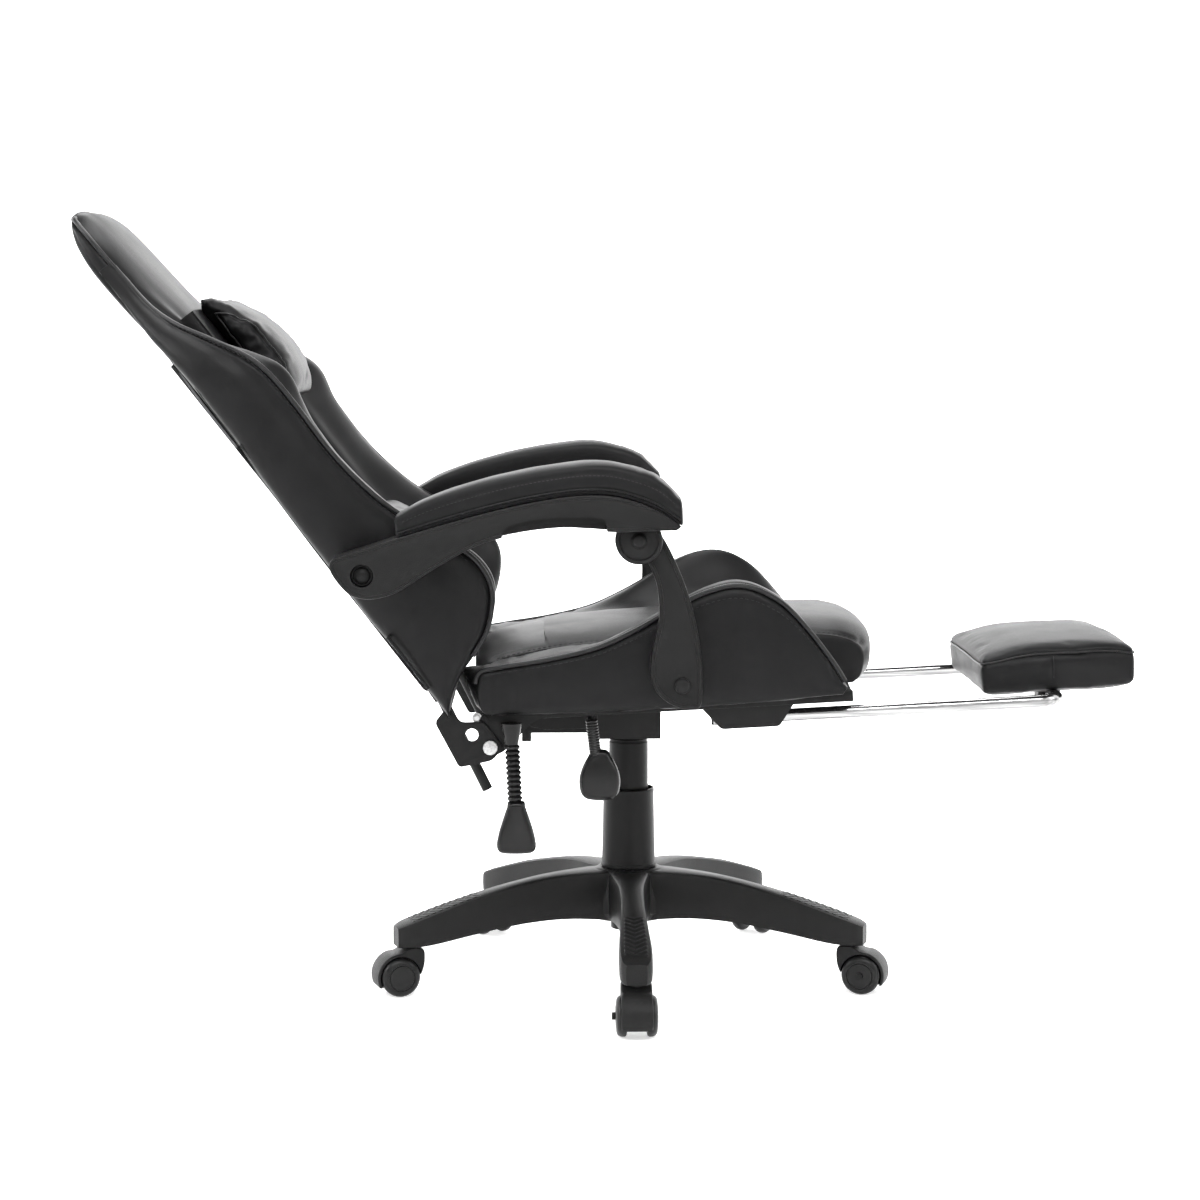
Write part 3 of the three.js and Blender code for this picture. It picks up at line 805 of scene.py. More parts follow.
def placed_copy(source, name, angle):
    copy = bpy.data.objects.new(name, source.data.copy())
    turn_to = Matrix.Translation(spun(CIRCLE, 0, 0, angle)) @ Matrix.Rotation(angle, 4, "Z")
    copy.data.transform(turn_to)
    bpy.context.scene.collection.objects.link(copy)
    return copy


hood_pattern, wheel_pattern = castor_hood(), castor_wheels()
for number, angle in enumerate(LEG_ANGLES, 1):
    hood = placed_copy(hood_pattern, f"castor_fork_{number}", angle)
    dress(hood, nylon, f"castor_{number}", f"castor_hood_{number}")
    wheels = placed_copy(wheel_pattern, f"twin_wheel_{number}", angle)
    dress(wheels, rim_plastic, f"wheels_{number}", f"castor_wheels_{number}")
for pattern in (hood_pattern, wheel_pattern):
    bpy.data.objects.remove(pattern)
print("wheels of", round(2000 * WHEEL), "mm")

# %% [markdown]
# ## Column
# The gas spring hides in a telescopic cover. Its tubes are thin satin mouldings with a rolled lip, and a dark
# gap shows where the upper one stops under the mechanism. A tube's wall has an inside, so its profile is a
# closed run and the mesh wraps round both ways.
# %% Column covers and gas spring
def hoop(name, rings, crease=40):
    """A body whose rings close on each other, such as a tube with a wall."""
    rings = np.array([[tuple(p) for p in ring] for ring in rings])
    rows, across, _ = rings.shape
    faces = [(i * across + j, i * across + (j + 1) % across, (i + 1) % rows * across + (j + 1) % across,
              (i + 1) % rows * across + j) for i in range(rows) for j in range(across)]
    return new_mesh(name, rings.reshape(-1, 3), faces, crease)


def cover(name, wall, node, body):
    obj = hoop(name, turn(wall, at_level(0, 0, 0), (0, 0, 1), 72), 30)
    return dress(obj, cover_plastic, body, node)


low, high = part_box("column_cover_lower")
bottom, top, wide = low.z, high.z, (high.x - low.x) / 2
cover("lower_column_cover", [
    (wide, bottom), (wide + 0.0004, bottom + 0.0015), (wide + 0.0001, bottom + 0.005),
    (wide - 0.0006, bottom + 0.006), (wide - 0.0025, top - 0.006), (wide - 0.0021, top - 0.005),
    (wide - 0.0021, top - 0.001), (wide - 0.0027, top), (wide - 0.0042, top), (wide - 0.0045, top - 0.003),
    (wide - 0.0022, bottom)], "column_cover_lower", "base")
low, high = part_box("column_cover_upper")
bottom, top, wide = low.z, high.z, (high.x - low.x) / 2
cover("upper_column_cover", [
    (wide, bottom), (wide, top - 0.0075), (wide - 0.0012, top - 0.0065), (wide - 0.0012, top - 0.0045),
    (wide, top - 0.0035), (wide - 0.0006, top - 0.0005), (wide - 0.0016, top), (0.0150, top),
    (0.0150, top - 0.0015), (wide - 0.0018, top - 0.002), (wide - 0.0018, bottom)],
      "column_cover_upper", "lift")
eased("gas_column", column_steel, 0.0006)
eased("lift_tube", chrome, 0.0006)
print("covers reach", round(top, 3), "m")

# %% [markdown]
# ## Steel under the seat
# The mechanism, rails and brackets are pressed and welded steel with a black powder coat. Their shapes are
# already right, so they only get soft edges. Screw heads show how they are held. The plywood board is drawn
# as a black slab: painted shade for the dark space under the seat's front.
# %% Mechanism, rails and brackets
for node in ("swivel_mechanism", "height_lever_rod", "footrest_hinge"):
    eased(node, black_steel)
for side in SIDES:
    for part in ("seat_rail", "recliner_bracket", "back_tube", "recliner_plate"):
        eased(f"{part}_{side}", black_steel, 0.0006)
    eased(f"recliner_bolt_{side}", zinc, 0.0008)


def flat_under_seat(u, w, y):
    return at_seat(u, y, w)


def board_in_painted_shade():
    """The plywood board as a black slab, painted shade under the seat's front; its front edge stops short of
    the cushion.
    """
    corners = [(-0.165, 0.200), (-0.155, 0.212), (0.000, 0.214), (0.225, 0.214), (0.262, 0.205),
               (0.272, 0.180), (0.276, 0.0)]
    outline = smooth_line([*corners, *[(u, -y) for u, y in reversed(corners[:-1])]], 160, True)
    # Painted shade: the board gets the black woven finish so that it reads as the dark under the seat.
    cloth = loft("seat_board_painted_shade", layered(outline, rounded(0.0335, 0.0475, 0.004), flat_under_seat))
    return dress(cloth, webbing, "seat", "seat_board")


def flange():
    """The pressed plate that bolts the mechanism to the seat, with a turned-down lip at each side."""
    outline = [(-0.128, 0.0335), (-0.128, 0.0050), (-0.110, 0.0000), (-0.060, -0.0015), (-0.044, -0.0060),
               (-0.040, 0.0335)]
    lips = [layered(even(np.array([*outline, outline[0]]), 90, True), rounded(k * 0.0895, k * 0.0865, 0.0007),
                    at_seat) for k in (-1, 1)]
    sheet = [(-0.128, -0.088), (-0.128, 0.088), (-0.042, 0.088), (-0.042, -0.088)]
    top = layered(even(np.array([*sheet, sheet[0]]), 80, True), rounded(0.0310, 0.0333, 0.0007),
                  flat_under_seat)
    return dress(loft_all("mechanism_flange", [*lips, top], 30), black_steel, "seat")


board_in_painted_shade()
flange()


def hex_screw(name, centre, axis, size, finish, body):
    """A screw head: a washer, six flats and a rounded crown."""
    washer = turn([(size * 1.35, 0), (size * 1.35, 0.0008), (size * 1.25, 0.0012), (size * 0.6, 0.0012)],
                  centre, axis, 36)
    flats = turn([(size, 0.001), (size, size * 0.62), (size * 0.86, size * 0.75), (size * 0.3, size * 0.78)],
                 centre, axis, 6)
    return dress(loft_all(name, [washer, flats], 25), finish, body)


for number, (u, y) in enumerate([(u, y) for u in (-0.082, 0.082) for y in (-0.075, 0.075)], 1):
    hex_screw(f"mechanism_screw_{number}", at_seat(u, y, 0.0345), at_seat(0, 0, 0) - at_seat(0, 0, 1), 0.0055,
              zinc, "seat")
bracket_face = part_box("recliner_bracket_left")[1].y
for side, k in SIDES.items():
    hex_screw(f"bracket_bolt_{side}", at_seat(-0.1905, k * (bracket_face - 0.0015), 0.0400),
              Vector((0, k, 0)), 0.0045, zinc, "seat")
print("steel parts are eased and screwed on")

# %% [markdown]
# ## Levers
# Each lever ends in a glossy paddle. A paddle is one spade outline, thick in the middle and thin at its edge,
# so its layers follow a quarter circle. The recline lever's ribbed sleeve is turned from a wave.
# %% Paddles and the ribbed sleeve
BELL = [(0.19, 0), (0.24, 0.12), (0.345, 0.35), (0.43, 0.55), (0.49, 0.75), (0.5, 0.85), (0.46, 0.94),
        (0.36, 0.985), (0.15, 1.0)]
EGG = [(0.17, 0), (0.29, 0.13), (0.42, 0.33), (0.495, 0.53), (0.5, 0.70), (0.45, 0.87), (0.33, 0.965),
       (0.12, 1.0)]


def blade(shape, x, top, y, length, width, thick=0.0148):
    """Rings of a paddle that hangs from (x, top), thick in the middle."""
    right = [(x + w * width, top - length * t) for w, t in shape]
    outline = smooth_line(right + [(2 * x - a, b) for a, b in reversed(right)], 72, True)
    turns = [math.radians(a) for a in range(-80, 81, 16)]
    layers = [(0.0070 * (1 - math.cos(a)) ** 0.8, y + thick / 2 * math.sin(a)) for a in turns]
    return layered(outline, layers, at_level)


def ribbed(start, end, ribs, root, ridge):
    """Rings of a bellows between two points."""
    path = [start.lerp(end, t) for t in np.linspace(0, 1, ribs * 10 + 1)]
    radii = [root + ridge * abs(math.sin(math.pi * ribs * t)) for t in np.linspace(0, 1, ribs * 10 + 1)]
    return sweep(path, radii, 32)


low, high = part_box("height_lever_paddle")
lever_y = (low.y + high.y) / 2
paddle = blade(EGG, -0.0425, low.z + 0.0625, lever_y, 0.0625, 0.050)
sleeve = ribbed(at_level(-0.0525, lever_y, high.z + 0.004), at_level(-0.0470, lever_y, low.z + 0.052),
                14, 0.0069, 0.0006)
dress(loft_all("height_paddle", [paddle, sleeve], 50), gloss_plastic, "height_lever", "height_lever_paddle")

low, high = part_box("recline_lever_paddle")
lever_y = (low.y + high.y) / 2
lever_x = (low.x + high.x) / 2 - swivel.x
paddle = blade(BELL, lever_x + 0.0015, high.z, lever_y, high.z - low.z + 0.003, 0.048)
dress(loft("recline_paddle", paddle, 50), gloss_plastic, "recline_lever", "recline_lever_paddle")
eased("recline_lever", gloss_plastic, 0.001)

low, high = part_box("recline_lever_gaiter")
gaiter_rings = ribbed(at_level(lever_x - 0.0032, lever_y, high.z), at_level(lever_x, lever_y, low.z),
                      11, 0.0070, 0.0024)
dress(loft("ribbed_sleeve", gaiter_rings, 60), gloss_plastic, "recline_lever", "recline_lever_gaiter")
print("levers at", round(lever_y, 3), "m from the middle")

# %% [markdown]
# ## The back
# The cover of the back is cut in panels: a flat centre, a head section that stands proud, and a wing at each
# side. A piping runs from the foot of one wing over its shoulder, up and across the head and down the other
# side. The wing is a fan between the flat rear edge and that piping line.
# %% Wings
FOAM_EDGE = 0.171
WING_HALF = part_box("back_wing_left")[1].y
WING_REAR = [(0.745, -0.0190), (0.680, -0.0175), (0.641, -0.0155), (0.597, -0.0115), (0.540, -0.0105),
             (0.484, -0.0115), (0.400, -0.0150), (0.325, -0.0170), (0.207, -0.0185), (0.142, -0.0165),
             (0.096, -0.0155), (0.062, -0.0150)]
WING_EDGE = [(0.745, -0.001), (0.717, 0.001), (0.674, 0.006), (0.637, 0.019), (0.596, 0.043), (0.553, 0.066),
             (0.520, 0.075), (0.470, 0.077), (0.400, 0.0755), (0.345, 0.081), (0.297, 0.092), (0.245, 0.113),
             (0.211, 0.127), (0.184, 0.132), (0.158, 0.128), (0.136, 0.113), (0.116, 0.089), (0.104, 0.060),
             (0.094, 0.030), (0.078, 0.004), (0.064, -0.012)]
WING_SECTION = [(0.171, 0.0), (0.225, 0.0), (0.244, 0.02), (0.2535, 0.09), (0.2590, 0.22), (0.2620, 0.40),
                (0.2622, 0.60), (0.2592, 0.78), (0.2590, 0.90), (0.2555, 0.975), (0.2480, 1.015),
                (0.2340, 1.01)]


WING_WIDTH = [(0.30, WING_HALF), (0.50, WING_HALF), (0.545, WING_HALF - 0.002), (0.580, WING_HALF - 0.011),
              (0.615, WING_HALF - 0.030), (0.655, WING_HALF - 0.055), (0.700, WING_HALF - 0.077),
              (0.745, FOAM_EDGE + 0.001), (0.80, FOAM_EDGE - 0.005)]


def wing_half(s):
    """How far the wing stands out at a height: it narrows over the shoulder to meet the head section."""
    return height_of(WING_WIDTH, s)


def wing_section(share, edge):
    """The run from the rear corner over the side panel to the piping, then down to the centre panel."""
    s, d = edge
    sunk = min(0.97, max(0.30, (0.045 + 0.0165) / max(d + 0.0165, 0.02)))
    swell = 0.21 * math.exp(-(((s - 0.514) / 0.045) ** 2))
    widen = (wing_half(s) - FOAM_EDGE) / (WING_HALF - FOAM_EDGE)
    run = WING_SECTION[:-1] + [(0.2330, 1.01 + swell * 0.8), (0.2120, sunk + (1 - sunk) * 0.74 + swell),
                               (0.1900, sunk + (1 - sunk) * 0.22 + swell * 0.4), (0.171, sunk - 0.04),
                               (0.1705, sunk * 0.5)]
    return [(FOAM_EDGE + (y - FOAM_EDGE) * widen, h) for y, h in run]


def mirrored_place(place, k):
    return lambda a, y, b: place(a, k * y, b)


def on_fan(inner, outer, place, width, height, count=160, span=(0, 1)):
    """A line along a fan at one place of its section, for piping and seams."""
    inner, outer = smooth_line(inner, count), smooth_line(outer, count)
    points = []
    for i in range(int(span[0] * (count - 1)), int(span[1] * (count - 1)) + 1):
        y, h = width(outer[i]), height
        a, b = inner[i] + (outer[i] - inner[i]) * h
        points.append(place(a, y, b))
    return points


def back_place(s, y, d):
    return at_back(s, y, d)


def edge_width(edge):
    return wing_half(edge[0]) - 0.0045


for side, k in SIDES.items():
    place = mirrored_place(back_place, k)
    rings = fan(WING_REAR, WING_EDGE, wing_section, place, 190, 92)
    wing = loft(f"wing_{side}", round_ends(rings, 0.001, 0.003, 3), 60)
    ruffle(wing, 0.0016, 0.085, (1, 0.5, 1), 3.0 + k)
    ruffle(wing, 0.0006, 0.026, (1, 0.6, 1), 8.0 + k)
    piping_line = on_fan(WING_REAR, WING_EDGE, place, edge_width, 0.985, span=(0.01, 0.90))
    press(wing, piping_line, 0.0022, 0.006)
    dress(wing, leather, "back", f"back_wing_{side}", fill=0.7)
    dress(loft(f"wing_piping_{side}", sweep(smooth_line(piping_line, 260), 0.0030, 10), 60), piping, "back")
print("wings of", len(rings), "rings")

# %% [markdown]
# The head section is the same idea laid level: its rear line and its front line, with the piping half way
# down its side. Its corners turn in towards the top, so its half width depends on the height.
# %% Head section
HEAD_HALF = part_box("back_cushion")[1].y
HEAD_REAR = [(0.560, -0.0100), (0.610, -0.0140), (0.660, -0.0230), (0.740, -0.0285), (0.785, -0.0260),
             (0.808, -0.0205), (0.821, -0.0140)]
HEAD_FRONT = [(0.560, 0.0390), (0.655, 0.0350), (0.691, 0.0305), (0.742, 0.0265), (0.770, 0.0245),
              (0.798, 0.0205), (0.817, 0.0130), (0.8265, 0.0030)]
HEAD_PIPING = [(0.560, 0.040), (0.640, 0.016), (0.690, 0.004), (0.740, -0.002), (0.780, -0.004),
               (0.806, -0.006), (0.830, -0.008)]


def head_half(s):
    return HEAD_HALF + 0.002 - 0.010 * max(0, (s - 0.62) / 0.2) - 0.030 * max(0, (s - 0.745) / 0.08) ** 2.4


def head_seam(s):
    """The share of the section's height where the piping lies."""
    rear, front, seam = (height_of(line, s) for line in (HEAD_REAR, HEAD_FRONT, HEAD_PIPING))
    return (seam - rear) / (front - rear)


def head_section(share, edge):
    half, seam = head_half(edge[0]), head_seam(edge[0])
    run = [(0, -0.02), (half * 0.6, -0.01), (half - 0.013, 0.02), (half - 0.003, 0.16), (half, seam - 0.16),
           (half - 0.0012, seam), (half - 0.007, seam + 0.12), (half - 0.022, 0.74), (half - 0.048, 0.865),
           (half * 0.45, 0.96), (0, 1.0)]
    return run + [(-y, h) for y, h in reversed(run[1:-1])]


rings = fan(HEAD_REAR, HEAD_FRONT, head_section, back_place, 90, 150)
head = loft("head_section", round_ends(rings, 0.001, 0.007, 7), 60)
ruffle(head, 0.0012, 0.09, (1, 0.7, 1), 5.0)


def head_edge(k):
    """The piping's way up one side of the head, to its top corner."""
    line = []
    for s in np.linspace(0.715, 0.812, 50):
        seam = height_of(HEAD_REAR, s) + head_seam(s) * (height_of(HEAD_FRONT, s) - height_of(HEAD_REAR, s))
        line.append(back_place(s, k * (head_half(s) - 0.0008), seam))
    return line


top_half = head_half(0.812) - 0.008
across = [back_place(0.8245 - 0.006 * (abs(y) / top_half) ** 4, y, -0.0070)
          for y in np.linspace(-top_half, top_half, 40)]
head_loop = [*head_edge(-1), *across, *reversed(head_edge(1))]
head_piping = smooth_line(np.array([tuple(p) for p in head_loop]), 320)
press(head, head_piping, 0.0020, 0.006)
dress(head, leather, "back", fill=0.7)
dress(loft("head_piping", sweep(head_piping, 0.0030, 10), 60), piping, "back")
print("the head section tops out at", round(max(v.co.z for v in head.data.vertices), 3), "m")

# %% [markdown]
# The centre panel is foam under a flat cover, with channels sewn across it so that the cover holds its shape.
# Its lower end turns round the foam. The channels are pressed into the mesh and a thread lies in each.
# %% Centre panel
CENTRE_REAR = [(0.640, -0.0035), (0.400, -0.0035), (0.200, -0.0035), (0.100, -0.0035)]
CENTRE_FRONT = [(0.640, 0.043), (0.400, 0.0435), (0.200, 0.0425), (0.142, 0.0410), (0.104, 0.0330)]
CENTRE_HALF = FOAM_EDGE - 0.0015
CHANNELS = [0.145 + 0.062 * i for i in range(8)]


def centre_section(share, edge):
    half = CENTRE_HALF
    run = [(0, 0.0), (half, 0.0), (half, 0.55), (half - 0.0015, 0.88), (half - 0.009, 0.975),
           (half * 0.6, 1.03), (0, 1.05)]
    return run + [(-y, h) for y, h in reversed(run[1:-1])]


rings = fan(CENTRE_REAR, CENTRE_FRONT, centre_section, back_place, 210, 120)
centre = loft("centre_panel", round_ends(rings, 0.001, 0.006, 4), 60)
channel_lines = [[back_place(s, y, 0.0452) for y in np.linspace(-0.150, 0.150, 60)] for s in CHANNELS]
for line in channel_lines:
    press(centre, line, 0.0048, 0.0075)
dress(centre, leather, "back", "back_cushion", fill=0.6)
rows = [bead for line in channel_lines for bead in stitches([p - (at_back(0, 0, 0.0036) - at_back(0, 0, 0))
                                                             for p in line], 0.0075, 0.005)]
dress(loft_all("centre_stitching", rows, 60), thread, "back")
print(len(CHANNELS), "channels")

# %% [markdown]
# Behind, one panel closes the cover. A zip runs down each side near the rear edge, so that the cover can be
# pulled over the foam: two tapes, a row of teeth and a slider at its lower end. A curved seam joins the
# zip's top to the piping at the shoulder.
# %% Rear panel, zips and side seams
REAR_HALF = [(0.066, 0.219), (0.072, 0.224), (0.300, 0.236), (0.500, 0.237), (0.575, 0.226), (0.625, 0.197),
             (0.670, 0.170), (0.720, 0.153), (0.752, 0.144)]


def rear_row(s):
    """One row across the rear panel: its crowned back, then its front face, buried in the wings."""
    half = height_of(REAR_HALF, s)
    bow = 0.0100 * min(1, max(0, (s - 0.61) / 0.10)) ** 1.5
    line = height_of(WING_REAR, s) - bow
    ends = min(1, (s - 0.064) / 0.006, (0.756 - s) / 0.006)
    back = [(-1, 0.0030), (-0.985, 0.0004), (-0.95, -0.0008), (-0.80, -0.0014), (-0.5, -0.0020), (0, -0.0024)]
    back += [(-y, d) for y, d in reversed(back[:-1])]
    front = [(0.985, 0.0065), (0.5, 0.0070), (-0.5, 0.0070), (-0.985, 0.0065)]
    return [at_back(s, y * half, line + d if d > 0.005 else line + 0.005 + (d - 0.005) * ends)
            for y, d in back + front]


rear = [rear_row(s) for s in np.linspace(0.066, 0.754, 140)]
rear_panel = loft("rear_panel", rear, 60)
ruffle(rear_panel, 0.0008, 0.090, (1, 0.6, 1), 71.0)
dress(rear_panel, leather, "back", "back_panel")


def wing_side(s, d, lift=0.0):
    """Distance from the middle of the side panel's surface at (s, d)."""
    edge, rear_edge = height_of(WING_EDGE[:14], s), height_of(WING_REAR, s)
    share = min(1, max(0, (d - rear_edge) / (edge - rear_edge)))
    section = WING_SECTION[1:11]
    y = float(np.interp(share, [h for _, h in section], [w for w, _ in section]))
    widen = (wing_half(s) - FOAM_EDGE) / (WING_HALF - FOAM_EDGE)
    return FOAM_EDGE + (y - FOAM_EDGE) * widen + lift


ZIP = [(0.474, -0.0090), (0.420, -0.0105), (0.312, -0.0135), (0.200, -0.0145), (0.105, -0.0150)]
SIDE_SEAM = [(0.636, 0.0120), (0.621, 0.0020), (0.590, -0.0050), (0.545, -0.0075), (0.474, -0.0090)]


def zipper(side, k):
    line = smooth_line(ZIP, 220)
    path = [at_back(s, k * wing_side(s, d, 0.0004), d) for s, d in line]
    tapes = []
    for shift in (-0.0038, 0.0038):
        lane = [at_back(s, k * wing_side(s, d + shift, 0.0003), d + shift) for s, d in line]
        tapes.append(sweep(lane, 0.0021, 8))
    dress(loft_all(f"zip_tapes_{side}", tapes, 60), webbing, "back")
    dress(loft_all(f"zip_teeth_{side}", stitches(path, 0.0022, 0.0012, 0.0013), 60), gloss_plastic, "back")
    foot = line[-1]
    out = Vector((0, k, 0))
    hold = at_back(foot[0], k * wing_side(*foot, 0.002), foot[1])
    tab = at_back(foot[0] - 0.021, k * wing_side(*foot, 0.003), foot[1] - 0.001)
    slider = [turn([(0.0048, -0.001), (0.0048, 0.0022), (0.0032, 0.0034)], hold, out, 20),
              sweep([hold + out * 0.003, hold.lerp(tab, 0.3) + out * 0.0035, tab + out * 0.001],
                    [0.0012, 0.0022, 0.0026], 10)]
    dress(loft_all(f"zip_slider_{side}", slider, 45), black_steel, "back")


for side, k in SIDES.items():
    zipper(side, k)
    seam = [at_back(s, k * wing_side(s, d, 0.0002), d) for s, d in smooth_line(SIDE_SEAM, 120)]
    wing = bpy.data.objects[f"wing_{side}"]
    press(wing, seam, 0.0016, 0.0035)
    dress(loft(f"side_seam_{side}", sweep(seam, 0.0006, 6), 60), thread, "back")
print("zips of", round(0.474 - 0.105, 2), "m")

# %% [markdown]
# Stitching holds each piping in place, one row close to it on the side panel. The stitches are small beads
# along the fan at a fixed place of its section, so that they follow every curve of the wing.
# %% Stitching on the wings
def side_row(k, height, span):
    lane = on_fan(WING_REAR, WING_EDGE, mirrored_place(back_place, k),
                  lambda edge: wing_half(edge[0]) - 0.0020, height, span=span)
    return stitches(lane, 0.0068, 0.0046, 0.0005)


for side, k in SIDES.items():
    dress(loft_all(f"wing_stitching_{side}", side_row(k, 0.93, (0.10, 0.74)), 60), thread, "back")
print("wings are sewn")

# %% [markdown]
# ## The seat
# The seat has the same cut as the back: a flat centre between two bolsters, with a piping along each
# bolster's edge. The centre cushion rolls over its front edge, so its crown line goes all the way round from
# its rear foot to its front foot.
# %% Seat bolsters
SEAT_FOAM = 0.0478
BOLSTER_FOOT = [(-0.180, 0.0445), (-0.110, 0.0420), (0.000, 0.0400), (0.150, 0.0410), (0.254, 0.0450)]
BOLSTER_EDGE = [(-0.189, 0.0560), (-0.190, 0.0850), (-0.1835, 0.0985), (-0.160, 0.1030), (-0.100, 0.1095),
                (-0.041, 0.1205), (0.005, 0.1385), (0.040, 0.1560), (0.077, 0.1750), (0.109, 0.1855),
                (0.134, 0.1880), (0.160, 0.1810), (0.190, 0.1610), (0.218, 0.1280), (0.246, 0.0860),
                (0.262, 0.0560)]
CENTRE_TOP = [(-0.200, 0.0980), (-0.169, 0.1040), (-0.123, 0.1130), (-0.082, 0.1185), (-0.041, 0.1205),
              (0.060, 0.1215), (0.160, 0.1205), (0.227, 0.1175), (0.260, 0.1130), (0.281, 0.1060),
              (0.292, 0.0960)]
SEAT_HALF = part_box("seat_bolster_left")[1].y


def bolster_section(share, edge):
    u, w = edge
    foot = height_of(BOLSTER_FOOT, u)
    tall = max(w - foot, 0.008)
    inner = (height_of(CENTRE_TOP, u) - 0.004 - foot) / tall
    inner = min(inner, 1.9) if u < 0.1 else min(inner, 0.95)
    floor = (SEAT_FOAM - foot) / tall
    crown = 1.02 if inner < 1 else 1 + (inner - 1) * 0.45
    return [(0.1705, floor), (0.227, floor), (0.230, 0.0), (0.243, 0.0), (0.2490, 0.06), (0.2508, 0.30),
            (0.2515, 0.62), (0.2500, 0.86), (0.2470, 0.97), (0.2400, 1.01), (0.2240, crown),
            (0.1960, crown * 0.35 + inner * 0.65), (0.1740, inner), (0.1705, inner * 0.9),
            (0.1705, (inner + floor) / 2)]


for side, k in SIDES.items():
    place = mirrored_place(at_seat, k)
    rings = fan(BOLSTER_FOOT, BOLSTER_EDGE, bolster_section, place, 170, 92)
    bolster = loft(f"bolster_{side}", round_ends(rings, 0.0015, 0.002, 3), 60)

    def gathers(co):
        """Bunched leather near the rear corner, where the cover is pulled round."""
        u = co.x - swivel.x
        return max(0.0, 1 - (u + 0.19) / 0.10)

    ruffle(bolster, 0.0014, 0.08, (1, 0.5, 1), 11.0 + k)
    ruffle(bolster, 0.0030, 0.020, (1.6, 0.8, 0.35), 2.0 + k, gathers)
    edge = on_fan(BOLSTER_FOOT, BOLSTER_EDGE, place,
                  lambda e: SEAT_HALF - 0.0030, 0.985, span=(0.055, 0.99))
    press(bolster, edge, 0.0022, 0.006)
    dress(bolster, leather, "seat", f"seat_bolster_{side}", fill=0.7)
    dress(loft(f"bolster_piping_{side}", sweep(smooth_line(edge, 240), 0.0030, 10), 60), piping, "seat")
    row = on_fan(BOLSTER_FOOT, BOLSTER_EDGE, place,
                 lambda e: SEAT_HALF + 0.0002, 0.885, span=(0.10, 0.93))
    dress(loft_all(f"bolster_stitching_{side}", stitches(row, 0.0068, 0.0046, 0.0005), 60), thread, "seat")
print("bolsters stand", round(2 * SEAT_HALF, 2), "m apart outside")

# %% [markdown]
# The centre of the seat carries the sitter, so its cover is a little loose: the crown is low and soft folds
# run across it. It is a boxed cushion: a seam runs along each side of its top and across its front edge.
# %% Seat cushion
SEAT_IN = [(-0.160, 0.0480), (-0.120, 0.0480), (-0.060, 0.0480), (0.060, 0.0480), (0.180, 0.0480),
           (0.250, 0.0480)]
SEAT_OUT = [(-0.178, 0.0490), (-0.187, 0.0700), (-0.186, 0.0920), (-0.169, 0.1035), (-0.123, 0.1130),
            (-0.082, 0.1185), (-0.041, 0.1205), (0.060, 0.1215), (0.160, 0.1205), (0.227, 0.1175),
            (0.260, 0.1130), (0.281, 0.1050), (0.2915, 0.0940), (0.2935, 0.0780), (0.2890, 0.0580),
            (0.2800, 0.0490)]


def seat_section(share, edge):
    half = 0.1695
    u, w = edge
    reach = max(0.03, math.hypot(u - min(0.25, max(-0.16, u)), w - 0.048))
    crown = (0.005 if u < -0.10 else 0.010 if u < 0.2 else 0.015) / reach
    run = [(0, 0.0), (half, 0.0), (half, 0.6), (half - 0.001, 0.90), (half - 0.008, 0.985),
           (half * 0.62, 1 + crown * 0.75), (0, 1 + crown)]
    return run + [(-y, h) for y, h in reversed(run[1:-1])]


rings = fan(SEAT_IN, SEAT_OUT, seat_section, at_seat, 230, 130)
cushion = loft("seat_centre", round_ends(rings, 0.0003, 0.0003, 2), 60)
ruffle(cushion, 0.0020, 0.070, (1, 0.35, 1), 21.0)
ruffle(cushion, 0.0008, 0.022, (1, 0.4, 1), 25.0)
seam_sides = [[at_seat(u, k * 0.1640, height_of(CENTRE_TOP, u) - 0.0010)
               for u in np.linspace(-0.165, 0.284, 120)] for k in (-1, 1)]
front_seam = [at_seat(0.2900, y, 0.0985) for y in np.linspace(-0.160, 0.160, 80)]
for lane in (*seam_sides, front_seam):
    press(cushion, lane, 0.0030, 0.0045)
thread_sink = at_seat(0, 0, 0.0012) - at_seat(0, 0, 0)
seat_rows = [bead for lane in (*seam_sides, front_seam)
             for bead in stitches([p - thread_sink for p in lane], 0.0065, 0.0044)]
dress(cushion, leather, "seat", "seat_cushion", fill=0.6)
dress(loft_all("seat_stitching", seat_rows, 60), thread, "seat")
print("the seat's front edge is at", round(max(v.co.x for v in cushion.data.vertices), 3), "m")

# %% [markdown]
# When the back comes upright, the feet of its wings push into the rear of the seat. Every padded piece of
# the seat, with its piping and thread, gets a mesh of its own here; its shape is not changed.
# %% Own meshes for the seat's padding
soft_names = ["seat_centre", "seat_stitching"]
soft_names += [f"bolster_{part}{side}" for part in ("", "piping_", "stitching_") for side in SIDES]
for name in soft_names:
    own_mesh(bpy.data.objects[name], "back_recline", axis=(1, 0, 0), anchor=at_seat(0.27, 0, 0.1), keep=0.95)
print(len(soft_names), "pieces give way to the back")

